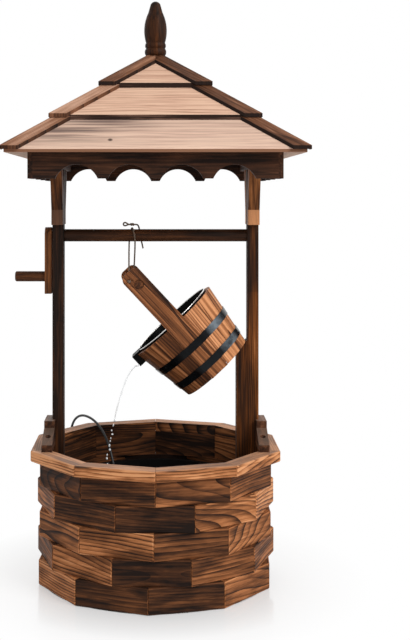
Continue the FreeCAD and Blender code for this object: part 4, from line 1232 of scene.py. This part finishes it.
def make_drops(material):
    """Drops that the stream breaks into, drawn out along their fall. They scatter on the way down."""
    draw = random.Random(11)
    rings = 8
    corners = 10
    lengths = (4.0 * MM, 9.0 * MM)
    widths = (1.2 * MM, 2.3 * MM)
    gaps = (0.5 * MM, 4.0 * MM)
    least_scatter = 1.0 * MM
    scatter_growth = 3.0 * MM
    above_pond = 4.0 * MM
    blunt = 0.1                    # radius of a drop's ends, as a share of its middle
    mesh = bmesh.new()
    start = fall_time(STREAM_BREAK)
    end = fall_time(WATER_LEVEL + above_pond)
    time = start
    while time < end:
        scatter = least_scatter + scatter_growth * (time - start) / (end - start)
        place = stream_place(time)
        length = draw.uniform(*lengths)
        radius = draw.uniform(*widths)
        place += Vector((draw.uniform(-1.0, 1.0), draw.uniform(-1.5, 1.5), 0.0)) * scatter
        fall = stream_heading(time) * length
        points = [place + fall * (i / rings - 0.5) for i in range(rings + 1)]
        radii = [radius * max(math.sin(math.pi * i / rings), blunt) for i in range(rings + 1)]
        add_tube(mesh, points, radii, corners)
        fall_speed = GRAVITY * time
        time += (length + draw.uniform(*gaps)) / fall_speed
    new_piece("Water_drops", mesh, material)


def make_bucket_pool(material):
    """Water held in the tipped bucket, level with the pouring lip."""
    steps = 96
    least_depth = 2.2 * MM
    inner_foot = BUCKET_FOOT_RADIUS - STAVE_THICKNESS - LINER_FIT - LINER_WALL - WATER_GAP
    outline = []
    for angle in round_angles(steps):
        across = math.cos(angle) * math.sin(BUCKET_TILT)
        height = (POOL_RISE - inner_foot * across) / (BUCKET_TAPER * across + math.cos(BUCKET_TILT))
        if height < LINER_FLOOR + least_depth:
            continue
        radius = inner_foot + BUCKET_TAPER * height
        outline.append(bucket_matrix @ Vector((radius * math.cos(angle), radius * math.sin(angle), height)))
    mesh = bmesh.new()
    mesh.faces.new([mesh.verts.new(place) for place in outline])
    new_piece("Bucket_pool", mesh, material)


def seen_rays(graph):
    """1 for rays that show the backdrop to the camera, straight or by gloss or glass."""
    rays = graph.fields(graph.put("ShaderNodeLightPath"))
    seen = graph.math("MAXIMUM", rays["Is Camera Ray"], rays["Is Glossy Ray"])
    return graph.math("MAXIMUM", seen, rays["Is Transmission Ray"])


def make_floor():
    """White sheet that lights the well from below. Round the base it keeps a soft shadow and a faint mirror
    image, which fade to plain white further off, and it is dark inside the base."""
    half = 30.0
    drop = -1.0 * MM
    shadow_fade = (220.0 * MM, 420.0 * MM)
    mirror_fade = (229.0 * MM, 340.0 * MM)
    shadow_share = 0.4
    mirror_share = 0.25
    mesh = bpy.data.meshes.new("Floor")
    corners = [(-half, -half, drop), (half, -half, drop), (half, half, drop), (-half, half, drop)]
    mesh.from_pydata(corners, [], [(0, 1, 2, 3)])
    floor = add_object("Floor", mesh)
    paper, graph, shader = new_material("White paper")
    graph.fill(shader, {"Base Color": (0.93, 0.93, 0.93, 1.0), "Roughness": 0.28, "Specular IOR Level": 0.4})
    x, y, _ = graph.split(graph.place())
    away = graph.hypot(x, y)
    plain = (away > WALL_FACE) * graph.remap(away, *shadow_fade, 1.0 - shadow_share, 1.0) * seen_rays(graph)
    glow = graph.get(0, "ShaderNodeEmission", {"Color": WHITE, "Strength": 1.0})
    gloss = graph.get(0, "ShaderNodeBsdfGlossy", {"Color": WHITE, "Roughness": 0.1})
    mirror = graph.remap(away, *mirror_fade, mirror_share, 0.0)
    sheet = graph.get(0, "ShaderNodeMixShader", {0: mirror, 1: glow, 2: gloss})
    lit = Field(graph, shader.outputs[0])
    surface = graph.get(0, "ShaderNodeMixShader", {0: plain, 1: lit, 2: sheet})
    graph.fill(paper.node_tree.nodes["Material Output"], {"Surface": surface})
    mesh.materials.append(paper)


def make_light():
    """Bright even studio, dimmer as light than as backdrop, with three soft lamps."""
    world = bpy.data.worlds.new("Studio")
    bpy.context.scene.world = world
    world.use_nodes = True
    graph = Graph(world.node_tree)
    strength = graph.spread(seen_rays(graph), 0.4, 1.0)
    graph.fill(world.node_tree.nodes["Background"], {"Color": WHITE, "Strength": strength})
    target = Vector((0.0, 0.0, 0.55))
    # Lamp, place, size and power
    lamps = (("Key", (2.2, -2.2, 2.4), 1.6, 87.0), ("Fill", (-2.3, -2.3, 1.3), 2.0, 12.0),
             ("Back", (-0.6, 2.5, 2.4), 2.0, 30.0))
    for name, place, size, power in lamps:
        light = bpy.data.lights.new(name, "AREA")
        light.size = size
        light.energy = power
        lamp = add_object(name, light)
        lamp.location = place
        lamp.rotation_euler = (target - lamp.location).to_track_quat("-Z", "Y").to_euler()


def make_camera():
    """Camera where the photograph's stood, shifted to its frame."""
    data = bpy.data.cameras.new("Camera")
    data.sensor_fit = "AUTO"
    data.sensor_width = SENSOR
    data.lens = FOCAL_PIXELS / IMAGE_HEIGHT * SENSOR
    data.shift_x = (IMAGE_WIDTH / 2 - AXIS_PIXEL) / IMAGE_HEIGHT
    data.shift_y = (HORIZON_PIXEL - IMAGE_HEIGHT / 2) / IMAGE_HEIGHT
    camera = add_object("Camera", data)
    camera.location = CAMERA_PLACE
    camera.rotation_euler = (math.radians(90), 0.0, 0.0)
    bpy.context.scene.camera = camera


bpy.context.scene.view_settings.view_transform = "Standard"
make_camera()
make_cord()
make_hose()
make_rope()
dress_base()
dress_roof()
dress_hidden()
dress_timbers()
dress_bucket()
dress_hardware()
ease_wood()
make_mitre_glue()
make_rim_highlight_bead()
make_water()
make_floor()
make_light()
